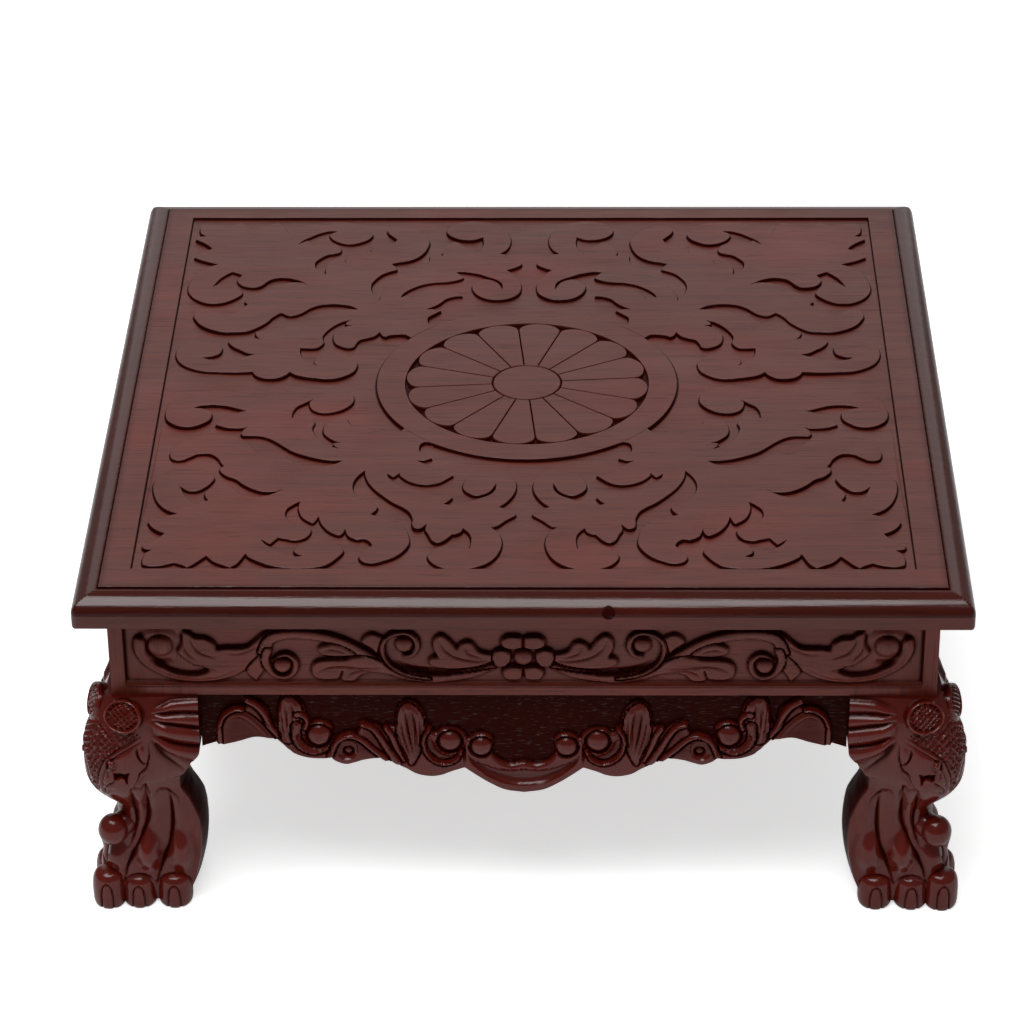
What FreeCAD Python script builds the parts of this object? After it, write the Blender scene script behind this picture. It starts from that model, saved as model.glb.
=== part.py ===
import FreeCAD
import Part
import Sketcher

import math
import os

from FreeCAD import Placement, Rotation, Vector

# A carved low table: a moulded top of three planks on a frame of four rails, four skirts and four
# paw legs. Millimetres, +Z up, +X to the right, the front faces -Y, the origin is on the floor
# under the middle of the top.

SIZES = {
    # Top
    "table_height": 200.0,
    "top_width": 457.0,
    "top_depth": 444.0,
    "top_thick": 17.4,
    "corner_round": 4.0,
    "plank_front": 72.0,
    "plank_back": 186.0,
    "tongue_width": 12.0,
    "tongue_thick": 5.0,
    "tongue_inset": 40.0,
    # Moulded edge: a quirk, a quarter round and a plain fascia
    "mould_width": 13.3,
    "quirk_drop": 1.2,
    "quirk_flat": 0.9,
    "fascia_height": 8.5,
    # Carved panel of the top
    "panel_margin": 28.2,
    "relief_height": 2.2,
    "ring_radius": 82.6,
    "ring_width": 15.4,
    "hub_radius": 18.5,
    "petal_count": 16.0,
    "petal_gap": 0.9,
    # Frame
    "frame_inset": 16.0,
    "post_width": 44.5,
    "rail_height": 50.5,
    "rail_thick": 22.0,
    "tenon_length": 18.0,
    "tenon_thick": 8.0,
    "tenon_shoulder": 7.0,
    "fit_gap": 0.15,
    # Sunk frieze panel
    "frieze_side": 7.5,
    "frieze_head": 6.0,
    "frieze_foot": 7.4,
    "frieze_sink": 3.0,
    # Skirt
    "skirt_drop": 62.2,
    "skirt_thick": 18.0,
    "skirt_setback": 1.0,
    "skirt_sink": 6.0,
    "skirt_tongue": 6.0,
    "skirt_tenon": 8.0,
    # Corner braces and battens
    "brace_length": 40.0,
    "brace_height": 20.0,
    "batten_width": 30.0,
    "batten_height": 18.0,
    "batten_clear": 13.0,
    "batten_bevel": 8.0,
    # Leg
    "ball_radius": 8.5,
    "badge_radius": 10.5,
    "badge_proud": 3.0,
    "toe_radius": 9.4,
    "toe_height": 20.0,
    # Plug in the front edge
    "plug_diameter": 4.5,
    "plug_length": 12.0,
    "plug_offset": 43.0,
    "plug_level": 6.2,
}


class Size:
    """A length and the spreadsheet expression that drives it."""

    def __init__(self, value, text):
        self.value = value
        self.text = text

    def combine(self, sign, other, value):
        text = other.text if isinstance(other, Size) else "%.6g" % other
        return Size(value, "(%s %s %s)" % (self.text, sign, text))

    def __add__(self, other):
        return self.combine("+", other, self.value + number(other))

    def __sub__(self, other):
        return self.combine("-", other, self.value - number(other))

    def __mul__(self, other):
        return self.combine("*", other, self.value * number(other))

    def __truediv__(self, other):
        return self.combine("/", other, self.value / number(other))

    def __neg__(self):
        return Size(-self.value, "(0 - %s)" % self.text)


def number(length):
    """The plain number of a Size or of a number."""
    return length.value if isinstance(length, Size) else length


doc = FreeCAD.newDocument("low_table")
sheet = doc.addObject("Spreadsheet::Sheet", "Sizes")
for row, (alias, value) in enumerate(SIZES.items(), 1):
    sheet.set("A%d" % row, alias)
    sheet.set("B%d" % row, str(value))
    sheet.setAlias("B%d" % row, alias)
doc.recompute()


def size(alias):
    """A cell of the sheet as a Size."""
    return Size(float(sheet.get(alias)), "Sizes." + alias)


# Levels and planes that several pieces share
height = size("table_height")
under_top = height - size("top_thick")
rail_low = under_top - size("rail_height")
half_width = size("top_width") / 2
half_depth = size("top_depth") / 2
face_x = half_width - size("frame_inset")
face_y = half_depth - size("frame_inset")
post = size("post_width")
inner_x = face_x - post
inner_y = face_y - post
gap = size("fit_gap")
ORIGIN = Size(0.0, "0")


def new_body(name):
    """A body whose label names its file."""
    body = doc.addObject("PartDesign::Body", name)
    body.Label = name
    return body


def new_sketch(body, name, plane, offset=ORIGIN):
    """A sketch on an origin plane of its body, moved along the plane's normal."""
    sketch = body.newObject("Sketcher::SketchObject", name)
    for feature in body.Origin.OriginFeatures:
        if feature.Role == plane + "_Plane":
            sketch.AttachmentSupport = [(feature, "")]
    sketch.MapMode = "FlatFace"
    sketch.AttachmentOffset = Placement(Vector(0, 0, offset.value), Rotation())
    sketch.setExpression("AttachmentOffset.Base.z", offset.text)
    return sketch


def draw_polygon(sketch, corners):
    """A closed polygon whose corners are pairs of Sizes, each held by two driven distances."""
    points = [Vector(number(across), number(up), 0) for across, up in corners]
    first = sketch.GeometryCount
    count = len(points)
    for index in range(count):
        sketch.addGeometry(Part.LineSegment(points[index], points[(index + 1) % count]), False)
    for index, (across, up) in enumerate(corners):
        line = first + index
        before = first + (index - 1) % count
        sketch.addConstraint(Sketcher.Constraint("Coincident", before, 2, line, 1))
        for kind, length in (("DistanceX", across), ("DistanceY", up)):
            rule = sketch.addConstraint(Sketcher.Constraint(kind, -1, 1, line, 1, number(length)))
            if isinstance(length, Size):
                sketch.setExpression("Constraints[%d]" % rule, length.text)


def draw_rectangle(sketch, left, low, right, top):
    """A rectangle between two corners."""
    draw_polygon(sketch, [(left, low), (right, low), (right, top), (left, top)])


def draw_circle(sketch, across, up, radius):
    """A circle with a driven centre and radius."""
    centre = Vector(number(across), number(up), 0)
    circle = sketch.addGeometry(Part.Circle(centre, Vector(0, 0, 1), number(radius)), False)
    for kind, length in (("DistanceX", across), ("DistanceY", up)):
        rule = sketch.addConstraint(Sketcher.Constraint(kind, -1, 1, circle, 3, number(length)))
        if isinstance(length, Size):
            sketch.setExpression("Constraints[%d]" % rule, length.text)
    rule = sketch.addConstraint(Sketcher.Constraint("Radius", circle, number(radius)))
    if isinstance(radius, Size):
        sketch.setExpression("Constraints[%d]" % rule, radius.text)


def draw_outline(sketch, start, steps, stretch=(1.0, 1.0), shift=(0.0, 0.0)):
    """A closed outline from start. A step is an end point, or a point on the arc and its end."""

    def place(point):
        return Vector(point[0] * stretch[0] + shift[0], point[1] * stretch[1] + shift[1], 0)

    here = place(start)
    for step in steps:
        there = place(step[-2:])
        if len(step) == 4:
            sketch.addGeometry(Part.Arc(here, place(step[:2]), there), False)
        else:
            sketch.addGeometry(Part.LineSegment(here, there), False)
        here = there
    if here.distanceToPoint(place(start)) > 1e-6:
        sketch.addGeometry(Part.LineSegment(here, place(start)), False)


def add_pad(body, name, sketch, length):
    """A pad with a driven length."""
    pad = body.newObject("PartDesign::Pad", name)
    pad.Profile = sketch
    pad.Length = length.value
    pad.setExpression("Length", length.text)
    return pad


def add_pocket(body, name, sketch, depth, flip=False, midplane=False):
    """A pocket with a driven depth."""
    pocket = body.newObject("PartDesign::Pocket", name)
    pocket.Profile = sketch
    pocket.Length = depth.value
    pocket.setExpression("Length", depth.text)
    pocket.Reversed = flip
    pocket.Midplane = midplane
    return pocket


def clone(master, name, turn, move=(ORIGIN, ORIGIN)):
    """A body that repeats a master, turned about Z and moved."""
    body = new_body(name)
    copy = doc.addObject("PartDesign::FeatureBase", name + "_copy")
    body.addObject(copy)
    copy.BaseFeature = master
    body.Tip = copy
    body.Placement = Placement(
        Vector(move[0].value, move[1].value, 0), Rotation(Vector(0, 0, 1), turn)
    )
    body.setExpression("Placement.Base.x", move[0].text)
    body.setExpression("Placement.Base.y", move[1].text)
    return body


# Carved panel of the top. One quarter of the scrollwork runs from the ring round a spray of leaves
# to the corner palmette and back. It is drawn for a panel of 200.3 by 193.9 from the middle. The
# volutes and the round lobes are arcs, written as the top of the arc and its end, and the cusped
# leaves between them are straight chisel cuts.
DRAWN_PANEL = (200.3, 193.9)
SPRAY_START = (65.5, 50.3)
SPRAY_STEPS = [
    # side leaf and its lobes
    (79.5, 51.5), (90.0, 48.5), (97.5, 39.0), (107.5, 43.5), (127.3, 38.7), (117.0, 19.0),
    # inner volute and the lobes along the middle of the side
    (112.0, 33.0), (102.0, 31.8),
    (94.3, 19.0, 104.0, 5.0),
    (118.0, 4.5), (131.5, 11.5), (137.5, 4.8), (147.0, 5.2), (152.3, 12.0), (175.0, 11.0),
    (193.0, 21.5),
    (194.5, 42.0, 184.0, 48.6),
    (174.0, 45.5), (170.8, 38.0), (173.0, 30.5), (181.0, 27.8), (166.0, 25.2), (152.5, 31.5), (168.0, 46.5), (150.5, 48.7), (152.5, 58.3), (138.0, 61.0), (126.0, 73.5),
    (113.0, 81.5), (97.0, 83.8),
    # outer leaf with its hook
    (113.0, 90.2), (128.0, 79.5), (140.5, 79.5), (148.0, 65.5), (160.0, 57.5),
    (172.0, 57.3), (182.5, 62.5), (189.5, 74.0), (182.0, 83.0), (172.5, 76.5), (163.5, 83.5), (159.5, 98.5), (148.0, 108.5), (138.5, 116.0),
    (127.5, 113.3),
    # corner palmette, side half
    (139.0, 121.5), (152.0, 114.5), (164.5, 111.4), (166.0, 124.8), (172.0, 128.8),
    (182.0, 110.5), (175.0, 115.8), (166.0, 107.5), (169.5, 94.5), (180.0, 90.5),
    (196.5, 105.0, 181.0, 138.3),
    (195.5, 146.5), (186.0, 157.5), (196.3, 169.0), (191.0, 173.5), (194.5, 188.0),
    # corner palmette, front half
    (178.5, 186.0), (171.5, 190.8), (162.5, 179.5), (149.5, 190.8), (142.5, 177.5),
    (133.0, 187.5), (115.0, 191.3),
    (98.0, 187.0, 92.7, 175.0),
    (99.0, 165.2), (111.0, 164.3), (118.0, 172.0), (113.5, 179.5), (126.0, 176.5),
    (135.5, 163.5), (126.8, 161.8), (118.0, 165.0), (110.6, 155.0),
    (124.5, 146.0, 117.5, 126.0),
    # front leaf with its hook
    (117.5, 139.0), (109.0, 147.3), (104.0, 156.5), (94.5, 159.0), (78.0, 169.2),
    (84.0, 180.0), (75.0, 187.0), (67.0, 181.5),
    (57.5, 165.0, 66.0, 145.5),
    (80.0, 138.8), (76.7, 131.3), (86.5, 124.0), (90.8, 110.0), (85.0, 94.5), (82.0, 109.5),
    (71.0, 125.0), (61.0, 134.5), (58.0, 148.0), (50.5, 150.0), (49.8, 161.5), (44.5, 166.3),
    (31.5, 152.8),
    # volute and lobes along the middle of the front
    (27.5, 172.0), (41.0, 169.5), (48.5, 178.0), (41.0, 191.0),
    (22.0, 190.5, 13.0, 177.5),
    (11.0, 163.0), (17.0, 151.5), (4.5, 140.0), (13.0, 131.3), (4.6, 113.0), (9.5, 99.0),
    (20.0, 94.5), (31.5, 105.0), (29.0, 117.0), (20.0, 118.0), (15.6, 108.0), (17.5, 119.0),
    (29.0, 127.5), (42.0, 128.2), (41.0, 118.8), (58.0, 115.0), (73.0, 97.8), (66.5, 99.5),
    (60.5, 106.7), (52.0, 109.3), (43.5, 106.0), (38.2, 99.7), (47.5, 96.0), (58.0, 83.8), (49.8, 82.0), (57.0, 70.0), (49.3, 66.3),
    # closed inside the ring
    (44.0, 60.0), (59.0, 46.0),
]


def mould_edge(body, name, plane, reach):
    """Cuts the quirk, round and fascia into the two edges that face along a plane's first axis."""
    length = size("top_width") + size("top_depth")
    sketch = new_sketch(body, name + "_sketch", plane)
    top = height.value
    flat = reach.value - number(size("mould_width"))
    drop = top - number(size("quirk_drop"))
    spring = flat + number(size("quirk_flat"))
    foot = under_top.value + number(size("fascia_height"))
    crown = (spring + (reach.value - spring) * 0.71, foot + (drop - foot) * 0.71)
    clear = 5.0
    for side in (1, -1):
        draw_outline(
            sketch,
            (flat, top + clear),
            [(flat, drop), (spring, drop), crown + (reach.value, foot),
             (reach.value + clear, foot), (reach.value + clear, top + clear)],
            stretch=(side, 1),
        )
    return add_pocket(body, name, sketch, length, midplane=True)


def carve_rosette(body):
    """Hub groove and the grooves between the petals, which widen into a pocket at the ring."""
    groove = size("petal_gap")
    sketch = new_sketch(body, "hub_groove_sketch", "XY", height)
    draw_circle(sketch, ORIGIN, ORIGIN, size("hub_radius"))
    draw_circle(sketch, ORIGIN, ORIGIN, size("hub_radius") + groove)
    add_pocket(body, "hub_groove", sketch, groove)

    half = groove.value / 2
    start = size("hub_radius").value + half
    ring = size("ring_radius").value - size("ring_width").value
    flare = ring * math.tan(math.pi / size("petal_count").value) * 0.42
    rim = math.sqrt(ring ** 2 - flare ** 2)
    waist = ring - flare * 2.0
    bend = (ring - flare * 0.62, flare * 0.36)
    sketch = new_sketch(body, "petal_groove_sketch", "XY", height)
    draw_outline(
        sketch,
        (start, -half),
        [(waist, -half), (bend[0], -bend[1]), (rim, -flare), (ring, 0.0), (rim, flare),
         (bend[0], bend[1]), (waist, half), (start, half)],
    )
    pocket = add_pocket(body, "petal_groove", sketch, groove * 1.5)
    pattern = body.newObject("PartDesign::PolarPattern", "petal_grooves")
    pattern.Originals = [pocket]
    pattern.Axis = (sketch, ["N_Axis"])
    pattern.Angle = 360
    pattern.setExpression("Occurrences", "Sizes.petal_count")
    body.Tip = pattern


def build_top():
    """The glued top before it is split into planks."""
    body = new_body("top_blank")
    sketch = new_sketch(body, "top_plan", "XY", under_top)
    draw_rectangle(sketch, -half_width, -half_depth, half_width, half_depth)
    slab = add_pad(body, "top_slab", sketch, size("top_thick"))
    doc.recompute()
    upright = [
        "Edge%d" % (index + 1)
        for index, edge in enumerate(slab.Shape.Edges)
        if abs(edge.Vertexes[0].Z - edge.Vertexes[-1].Z) > 1
    ]
    rounds = body.newObject("PartDesign::Fillet", "corner_rounds")
    rounds.Base = (slab, upright)
    rounds.setExpression("Radius", "Sizes.corner_round")
    mould_edge(body, "side_moulding", "XZ", half_width)
    mould_edge(body, "front_moulding", "YZ", half_depth)

    margin = size("panel_margin")
    panel = (half_width - margin, half_depth - margin)
    sketch = new_sketch(body, "panel_sketch", "XY", height)
    draw_rectangle(sketch, -panel[0], -panel[1], panel[0], panel[1])
    add_pocket(body, "panel_ground", sketch, size("relief_height"))

    ground = height - size("relief_height")
    sketch = new_sketch(body, "ring_sketch", "XY", ground)
    draw_circle(sketch, ORIGIN, ORIGIN, size("ring_radius"))
    add_pad(body, "ring_disc", sketch, size("relief_height"))
    sketch = new_sketch(body, "spray_sketch", "XY", ground)
    stretch = [panel[axis].value / DRAWN_PANEL[axis] for axis in (0, 1)]
    for side in (1, -1):
        for end in (1, -1):
            draw_outline(
                sketch, SPRAY_START, SPRAY_STEPS, stretch=(side * stretch[0], end * stretch[1])
            )
    add_pad(body, "leaf_sprays", sketch, size("relief_height"))
    carve_rosette(body)
    return body


def box(name, corner, far):
    """A Part box between two opposite corners, given as triples of Sizes."""
    block = doc.addObject("Part::Box", name)
    for axis, side, low, high in zip("xyz", ("Length", "Width", "Height"), corner, far):
        block.setExpression("Placement.Base." + axis, low.text)
        block.setExpression(side, (high - low).text)
    return block


def cut(name, base, tool):
    """A boolean cut whose label names its file."""
    result = doc.addObject("Part::Cut", name)
    result.Base = base
    result.Tool = tool
    result.Label = name
    return result


def group_tools(name, tools):
    """Several cutters as one compound."""
    compound = doc.addObject("Part::Compound", name)
    compound.Links = tools
    return compound


def build_rail(name, half_length, face):
    """A frieze rail that faces -Y, with a sunk panel, a tenon at each end and a skirt groove."""
    thick = size("rail_thick")
    body = new_body(name)
    sketch = new_sketch(body, name + "_outline", "XZ", face - thick)
    draw_rectangle(sketch, -half_length, rail_low, half_length, under_top)
    add_pad(body, name + "_board", sketch, thick)

    reach = half_length + size("tenon_length")
    shoulder = size("tenon_shoulder")
    cheek = (thick + size("tenon_thick")) / 2
    sketch = new_sketch(body, name + "_tenons", "XZ", face - cheek)
    draw_rectangle(sketch, -reach, rail_low + shoulder, reach, under_top - shoulder)
    add_pad(body, name + "_tenon_pad", sketch, size("tenon_thick"))

    sketch = new_sketch(body, name + "_panel", "XZ", face)
    draw_rectangle(
        sketch, -half_length, rail_low + size("frieze_foot"),
        half_length, under_top - size("frieze_head"),
    )
    add_pocket(body, name + "_panel_ground", sketch, size("frieze_sink"))

    tongue = size("skirt_tongue")
    middle = face - size("skirt_setback") - size("skirt_thick") / 2
    sketch = new_sketch(body, name + "_groove", "XY", rail_low)
    draw_rectangle(
        sketch, -half_length, -middle - tongue / 2 - gap, half_length, -middle + tongue / 2 + gap
    )
    add_pocket(body, name + "_skirt_groove", sketch, tongue + gap, flip=True)
    return body


# Lower edge of half a skirt, from the middle to the leg, as distance from the middle and drop below
# the rail: the crescent, two volutes with the leaf between them, and the arch beside the leg. It is
# drawn for a half length of 168 and a drop of 62.2.
DRAWN_SKIRT = (168.0, 62.2)
SKIRT_EDGE = [
    (16.0, 58.5, 31.0, 46.4),
    (40.0, 50.4), (49.0, 52.1), (59.0, 49.3), (70.0, 42.7), (82.0, 41.6), (92.0, 44.9),
    (100.5, 40.5), (110.0, 41.4), (120.0, 37.0), (133.0, 28.7),
    (141.0, 27.9, 150.0, 30.0),
    (168.0, 35.2),
]
# Upper edge of the carving on half a skirt, where the sunk ground ends.
SKIRT_CARVING = [
    (12.0, 53.0), (23.0, 43.0), (29.5, 31.0), (33.0, 25.0), (40.0, 23.0), (47.0, 28.0),
    (51.0, 14.0), (57.0, 5.0), (64.0, 14.0), (66.0, 27.0), (70.0, 21.0), (77.0, 18.5),
    (89.0, 25.0), (97.0, 37.0), (98.0, 24.0), (104.0, 18.0), (113.0, 23.0), (119.0, 3.5),
    (127.0, 20.0), (138.0, 8.0), (141.0, 14.5),
    (156.0, 12.0, 158.0, 27.0),
    (168.0, 29.0),
]


def reverse_steps(start, steps):
    """The same edges from the far end back to start, on the other side of the middle."""
    ends = [start] + [step[-2:] for step in steps]
    back = []
    for index in range(len(steps) - 1, -1, -1):
        bend = steps[index][:2] if len(steps[index]) == 4 else None
        end = (-ends[index][0], ends[index][1])
        back.append((-bend[0], bend[1]) + end if bend else end)
    return back


def build_skirt(name, half_length, face):
    """A scalloped skirt that faces -Y, with carving left proud of a sunk ground."""
    drop = size("skirt_drop")
    thick = size("skirt_thick")
    front = face - size("skirt_setback")
    end = half_length - gap
    low = rail_low.value
    stretch = (end.value / DRAWN_SKIRT[0], -drop.value / DRAWN_SKIRT[1])
    body = new_body(name)

    middle = (0.0, DRAWN_SKIRT[1])
    sketch = new_sketch(body, name + "_outline", "XZ", front - thick)
    corner = (-DRAWN_SKIRT[0], SKIRT_EDGE[-1][-1])
    draw_outline(
        sketch, corner,
        reverse_steps(middle, SKIRT_EDGE) + SKIRT_EDGE + [(DRAWN_SKIRT[0], 0), (-DRAWN_SKIRT[0], 0)],
        stretch=stretch, shift=(0, low),
    )
    add_pad(body, name + "_board", sketch, thick)

    tongue = size("skirt_tongue")
    back = front - thick / 2 - tongue / 2
    sketch = new_sketch(body, name + "_tongue", "XZ", back)
    draw_rectangle(sketch, -end, rail_low - tongue, end, rail_low + tongue)
    add_pad(body, name + "_tongue_pad", sketch, tongue)

    reach = end + size("skirt_tenon")
    cheek = front - thick / 2 - size("tenon_thick") / 2
    shoulder = size("tenon_shoulder")
    sketch = new_sketch(body, name + "_tenons", "XZ", cheek)
    draw_rectangle(sketch, -reach, rail_low - shoulder * 4, reach, rail_low - shoulder)
    add_pad(body, name + "_tenon_pad", sketch, size("tenon_thick"))

    crest = (0.0, 56.5)
    brow = 0.0
    sketch = new_sketch(body, name + "_ground", "XZ", front)
    corner = (-DRAWN_SKIRT[0], SKIRT_CARVING[-1][-1])
    draw_outline(
        sketch, corner,
        reverse_steps(crest, SKIRT_CARVING) + SKIRT_CARVING
        + [(DRAWN_SKIRT[0], brow), (-DRAWN_SKIRT[0], brow)],
        stretch=stretch, shift=(0, low),
    )
    add_pocket(body, name + "_ground_cut", sketch, size("skirt_sink"))
    return body


# Leg. Its own frame has the outer corner of the post at the origin, +X and -Y outwards. A section
# is written as distances outwards from the faces of the post, so inside the post is negative, and
# the levels are drawn for a rail whose lower edge is at 132.1.
DRAWN_LEG = 132.1
# Knee sections, from the rail down: level, reach of the inner corner, where the face ends, how far
# the face stands out there, how far the rounded corner stands out, and the radius of that corner.
KNEE = [
    (132.1, 44.5, 44.5, 1.5, 3.0, 8.0),
    (124.0, 44.5, 44.5, 4.5, 9.0, 12.0),
    (113.0, 44.5, 44.3, 6.5, 12.5, 15.0),
    (101.0, 44.5, 43.0, 6.5, 14.5, 17.0),
    (92.0, 44.0, 39.5, 5.0, 14.5, 18.0),
    (82.0, 44.0, 34.5, 2.5, 12.0, 17.0),
    (73.0, 44.5, 34.5, 0.8, 6.0, 14.0),
]
# Shank sections: level, reach of the inner corner, the three grooves of a face as distance along
# and out, how far the tendons swell between them, and how far the corner tendon stands out.
SHANK = [
    (65.0, 44.8, (-36.0, -1.0), (-27.5, -1.5), (-13.0, -3.0), 0.8, -2.0),
    (56.0, 45.3, (-39.5, -0.5), (-28.0, -0.5), (-12.0, -2.0), 2.0, 0.0),
    (46.0, 45.5, (-41.5, -0.5), (-27.5, 0.0), (-11.0, -0.5), 3.0, 3.5),
    (36.0, 45.0, (-42.0, -0.5), (-25.0, 2.5), (-7.0, 4.0), 3.5, 8.0),
    (26.0, 44.0, (-41.5, -0.5), (-22.0, 4.5), (-3.0, 8.0), 4.0, 12.0),
    (15.0, 43.0, (-40.0, 0.5), (-19.5, 6.5), (-0.5, 10.0), 4.0, 14.0),
]
# Middles of the five toes: one on the corner and two on each face.
TOES = [(8.0, 8.0), (-8.3, 4.1), (-27.3, 1.1), (4.1, -8.3), (1.1, -27.3)]


def leg_point(out_x, out_y, level):
    """A point of the leg from its distances outwards from the two faces of the post."""
    return Vector(out_x, -out_y, level * rail_low.value / DRAWN_LEG)


def knee_ring(level, back, ear, proud, corner, radius):
    """Half a section of the knee, from the inner corner along a face to the outer corner."""
    along = corner - 1.606 * radius
    out = corner - 0.205 * radius
    tip = corner - 0.293 * radius
    half = [(-back, -back), (-ear, proud)]
    for share in (0.35, 0.7):
        half.append((-ear + (along + ear) * share, proud + (out - proud) * share))
    half += [(along, out), ((along + tip) / 2 + radius * 0.08, (out + tip) / 2 + radius * 0.16), (tip, tip)]
    return level, half


def shank_ring(level, back, inner, middle, outer, swell, corner):
    """Half a section of the shank: two tendons between three grooves, then the corner tendon."""
    half = [(-back, -back), inner]
    for first, second in ((inner, middle), (middle, outer)):
        half.append(((first[0] + second[0]) / 2, (first[1] + second[1]) / 2 + swell))
        half.append(second)
    half.append((corner, corner))
    return level, half


def planar_faces(points):
    """A face through a ring of points, or two triangles where four points are not in a plane."""
    if len(points) == 4:
        across = (points[1] - points[0]).cross(points[3] - points[0])
        if abs(across.dot(points[2] - points[0])) > 1e-7:
            return planar_faces(points[:3]) + planar_faces([points[0], points[2], points[3]])
    return [Part.Face(Part.makePolygon(points + points[:1]))]


def carved_solid(rings):
    """A solid with flat chisel facets between rings of points, each with a flat end."""
    faces = planar_faces(rings[0]) + planar_faces(rings[-1])
    for upper, lower in zip(rings, rings[1:]):
        for index in range(len(upper)):
            after = (index + 1) % len(upper)
            faces += planar_faces([upper[index], upper[after], lower[after], lower[index]])
    solid = Part.Solid(Part.makeShell(faces))
    if solid.Volume < 0:
        solid.reverse()
    return solid


def whole_ring(level, half):
    """A section from its half, which is the same on both faces of the leg."""
    turned = [(out, along) for along, out in reversed(half[1:-1])]
    return [leg_point(across, out, level) for across, out in half + turned]


def turned_ring(radius, level, sides):
    """A ring of points round the Z axis."""
    step = 2 * math.pi / sides
    return [
        Vector(radius * math.cos(step * index), radius * math.sin(step * index), level)
        for index in range(sides)
    ]


def toe_solid(out_x, out_y):
    """A toe with a rounded crown, cut in flats."""
    radius = size("toe_radius").value
    tall = size("toe_height").value
    flats = 9
    profile = [(radius - 1.5, 0), (radius, 1.5), (radius, tall * 0.7), (radius * 0.6, tall)]
    toe = carved_solid([turned_ring(across, level, flats) for across, level in profile])
    toe.translate(Vector(out_x, -out_y, 0))
    return toe


def ball_solid():
    """The ball at the heel of the corner, cut in flats."""
    radius = size("ball_radius").value
    flats = 10
    bands = 5
    angles = [math.pi * (index + 0.5) / bands - math.pi / 2 for index in range(bands)]
    ball = carved_solid([
        turned_ring(radius * math.cos(angle), radius * math.sin(angle), flats) for angle in angles
    ])
    ball.translate(leg_point(5.0, 5.0, 50.5))
    return ball


# Fan on the front face of the knee: pivot and rim as distance along the face and level, and how
# far the pleats stand out there.
FAN_PIVOT = (-17.0, 116.0)
FAN_RIM = [(-43.6, 131.4), (-43.6, 122.5), (-43.4, 113.0), (-42.6, 103.0), (-40.0, 93.5), (-33.8, 85.0)]
FAN_PROUD = [2.0, 5.0, 6.8, 7.0, 5.6, 3.4]
PLEAT_RISE = 2.6
FAN_DEPTH = 8.0


def fan_solid():
    """Five pleats that spread from the pivot to the inner edge of the face, each a pyramid."""
    pivot = leg_point(FAN_PIVOT[0], 7.5, FAN_PIVOT[1])
    pleats = []
    for index in range(len(FAN_RIM) - 1):
        (along_a, level_a), (along_b, level_b) = FAN_RIM[index:index + 2]
        out_a, out_b = FAN_PROUD[index:index + 2]
        rim = [
            leg_point(along_a, out_a - FAN_DEPTH, level_a), leg_point(along_a, out_a, level_a),
            leg_point(
                (along_a + along_b) / 2, (out_a + out_b) / 2 + PLEAT_RISE, (level_a + level_b) / 2
            ),
            leg_point(along_b, out_b, level_b), leg_point(along_b, out_b - FAN_DEPTH, level_b),
        ]
        faces = planar_faces(rim)
        for corner in range(len(rim)):
            faces += planar_faces([rim[corner], rim[(corner + 1) % len(rim)], pivot])
        pleat = Part.Solid(Part.makeShell(faces))
        if pleat.Volume < 0:
            pleat.reverse()
        pleats.append(pleat)
    return pleats


def badge_solid():
    """The round badge on the front face of the knee, tilted up and towards the corner."""
    radius = size("badge_radius").value
    proud = size("badge_proud").value
    root = 8.0
    rim = 1.6
    dish = 0.9
    flats = 12
    face = root + proud
    disc = carved_solid([
        turned_ring(across, level, flats)
        for across, level in ((radius, 0), (radius, face - rim / 2), (radius - rim / 2, face))
    ])
    badge = disc.cut(carved_solid([
        turned_ring(radius - rim, level, flats) for level in (face - dish, face + dish)
    ]))
    badge.Placement = Placement(
        leg_point(-6.0, 6.0 - root, 122.5), Rotation(Vector(0, 0, 1), Vector(0.22, -0.90, 0.36))
    )
    return badge


def both_faces(solids):
    """The solids and their mirror images on the other face of the leg."""
    return solids + [solid.mirror(Vector(0, 0, 0), Vector(1, 1, 0)) for solid in solids]


def leg_shape():
    """The carved leg with its post, mortises and frieze panels."""
    wide = post.value
    tall = rail_low.value
    block = Part.makeBox(
        wide, wide, size("rail_height").value, Vector(-wide, 0, tall)
    )
    rings = [knee_ring(*section) for section in KNEE] + [shank_ring(*section) for section in SHANK]
    shaft = carved_solid([whole_ring(level, half) for level, half in rings])
    sole = 0.8
    core_front = 4.0
    core_back = 40.5
    core = Part.makeBox(
        core_back + core_front, core_back + core_front, leg_point(0, 0, SHANK[-1][0]).z - sole,
        Vector(-core_back, -core_front, sole),
    )
    toes = [toe_solid(*middle) for middle in TOES]
    fan = fan_solid()
    solid = block.fuse([shaft, core, ball_solid()] + toes + both_faces([badge_solid()] + fan))

    thick = size("rail_thick").value
    tenon = size("tenon_thick").value
    shoulder = size("tenon_shoulder").value
    play = gap.value
    panel = Part.makeBox(
        wide - size("frieze_side").value, size("frieze_sink").value,
        size("rail_height").value - size("frieze_foot").value - size("frieze_head").value,
        Vector(-wide, 0, tall + size("frieze_foot").value),
    )
    rail_mortise = Part.makeBox(
        size("tenon_length").value + play, tenon + 2 * play,
        size("rail_height").value - 2 * shoulder + 2 * play,
        Vector(-wide, (thick - tenon) / 2 - play, tall + shoulder - play),
    )
    skirt_middle = size("skirt_setback").value + size("skirt_thick").value / 2
    skirt_mortise = Part.makeBox(
        size("skirt_tenon").value + 2 * play, tenon + 2 * play, 3 * shoulder + 2 * play,
        Vector(-wide - play, skirt_middle - tenon / 2 - play, tall - 4 * shoulder - play),
    )
    solid = solid.cut(both_faces([panel, rail_mortise, skirt_mortise]))
    return solid.removeSplitter()


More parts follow.
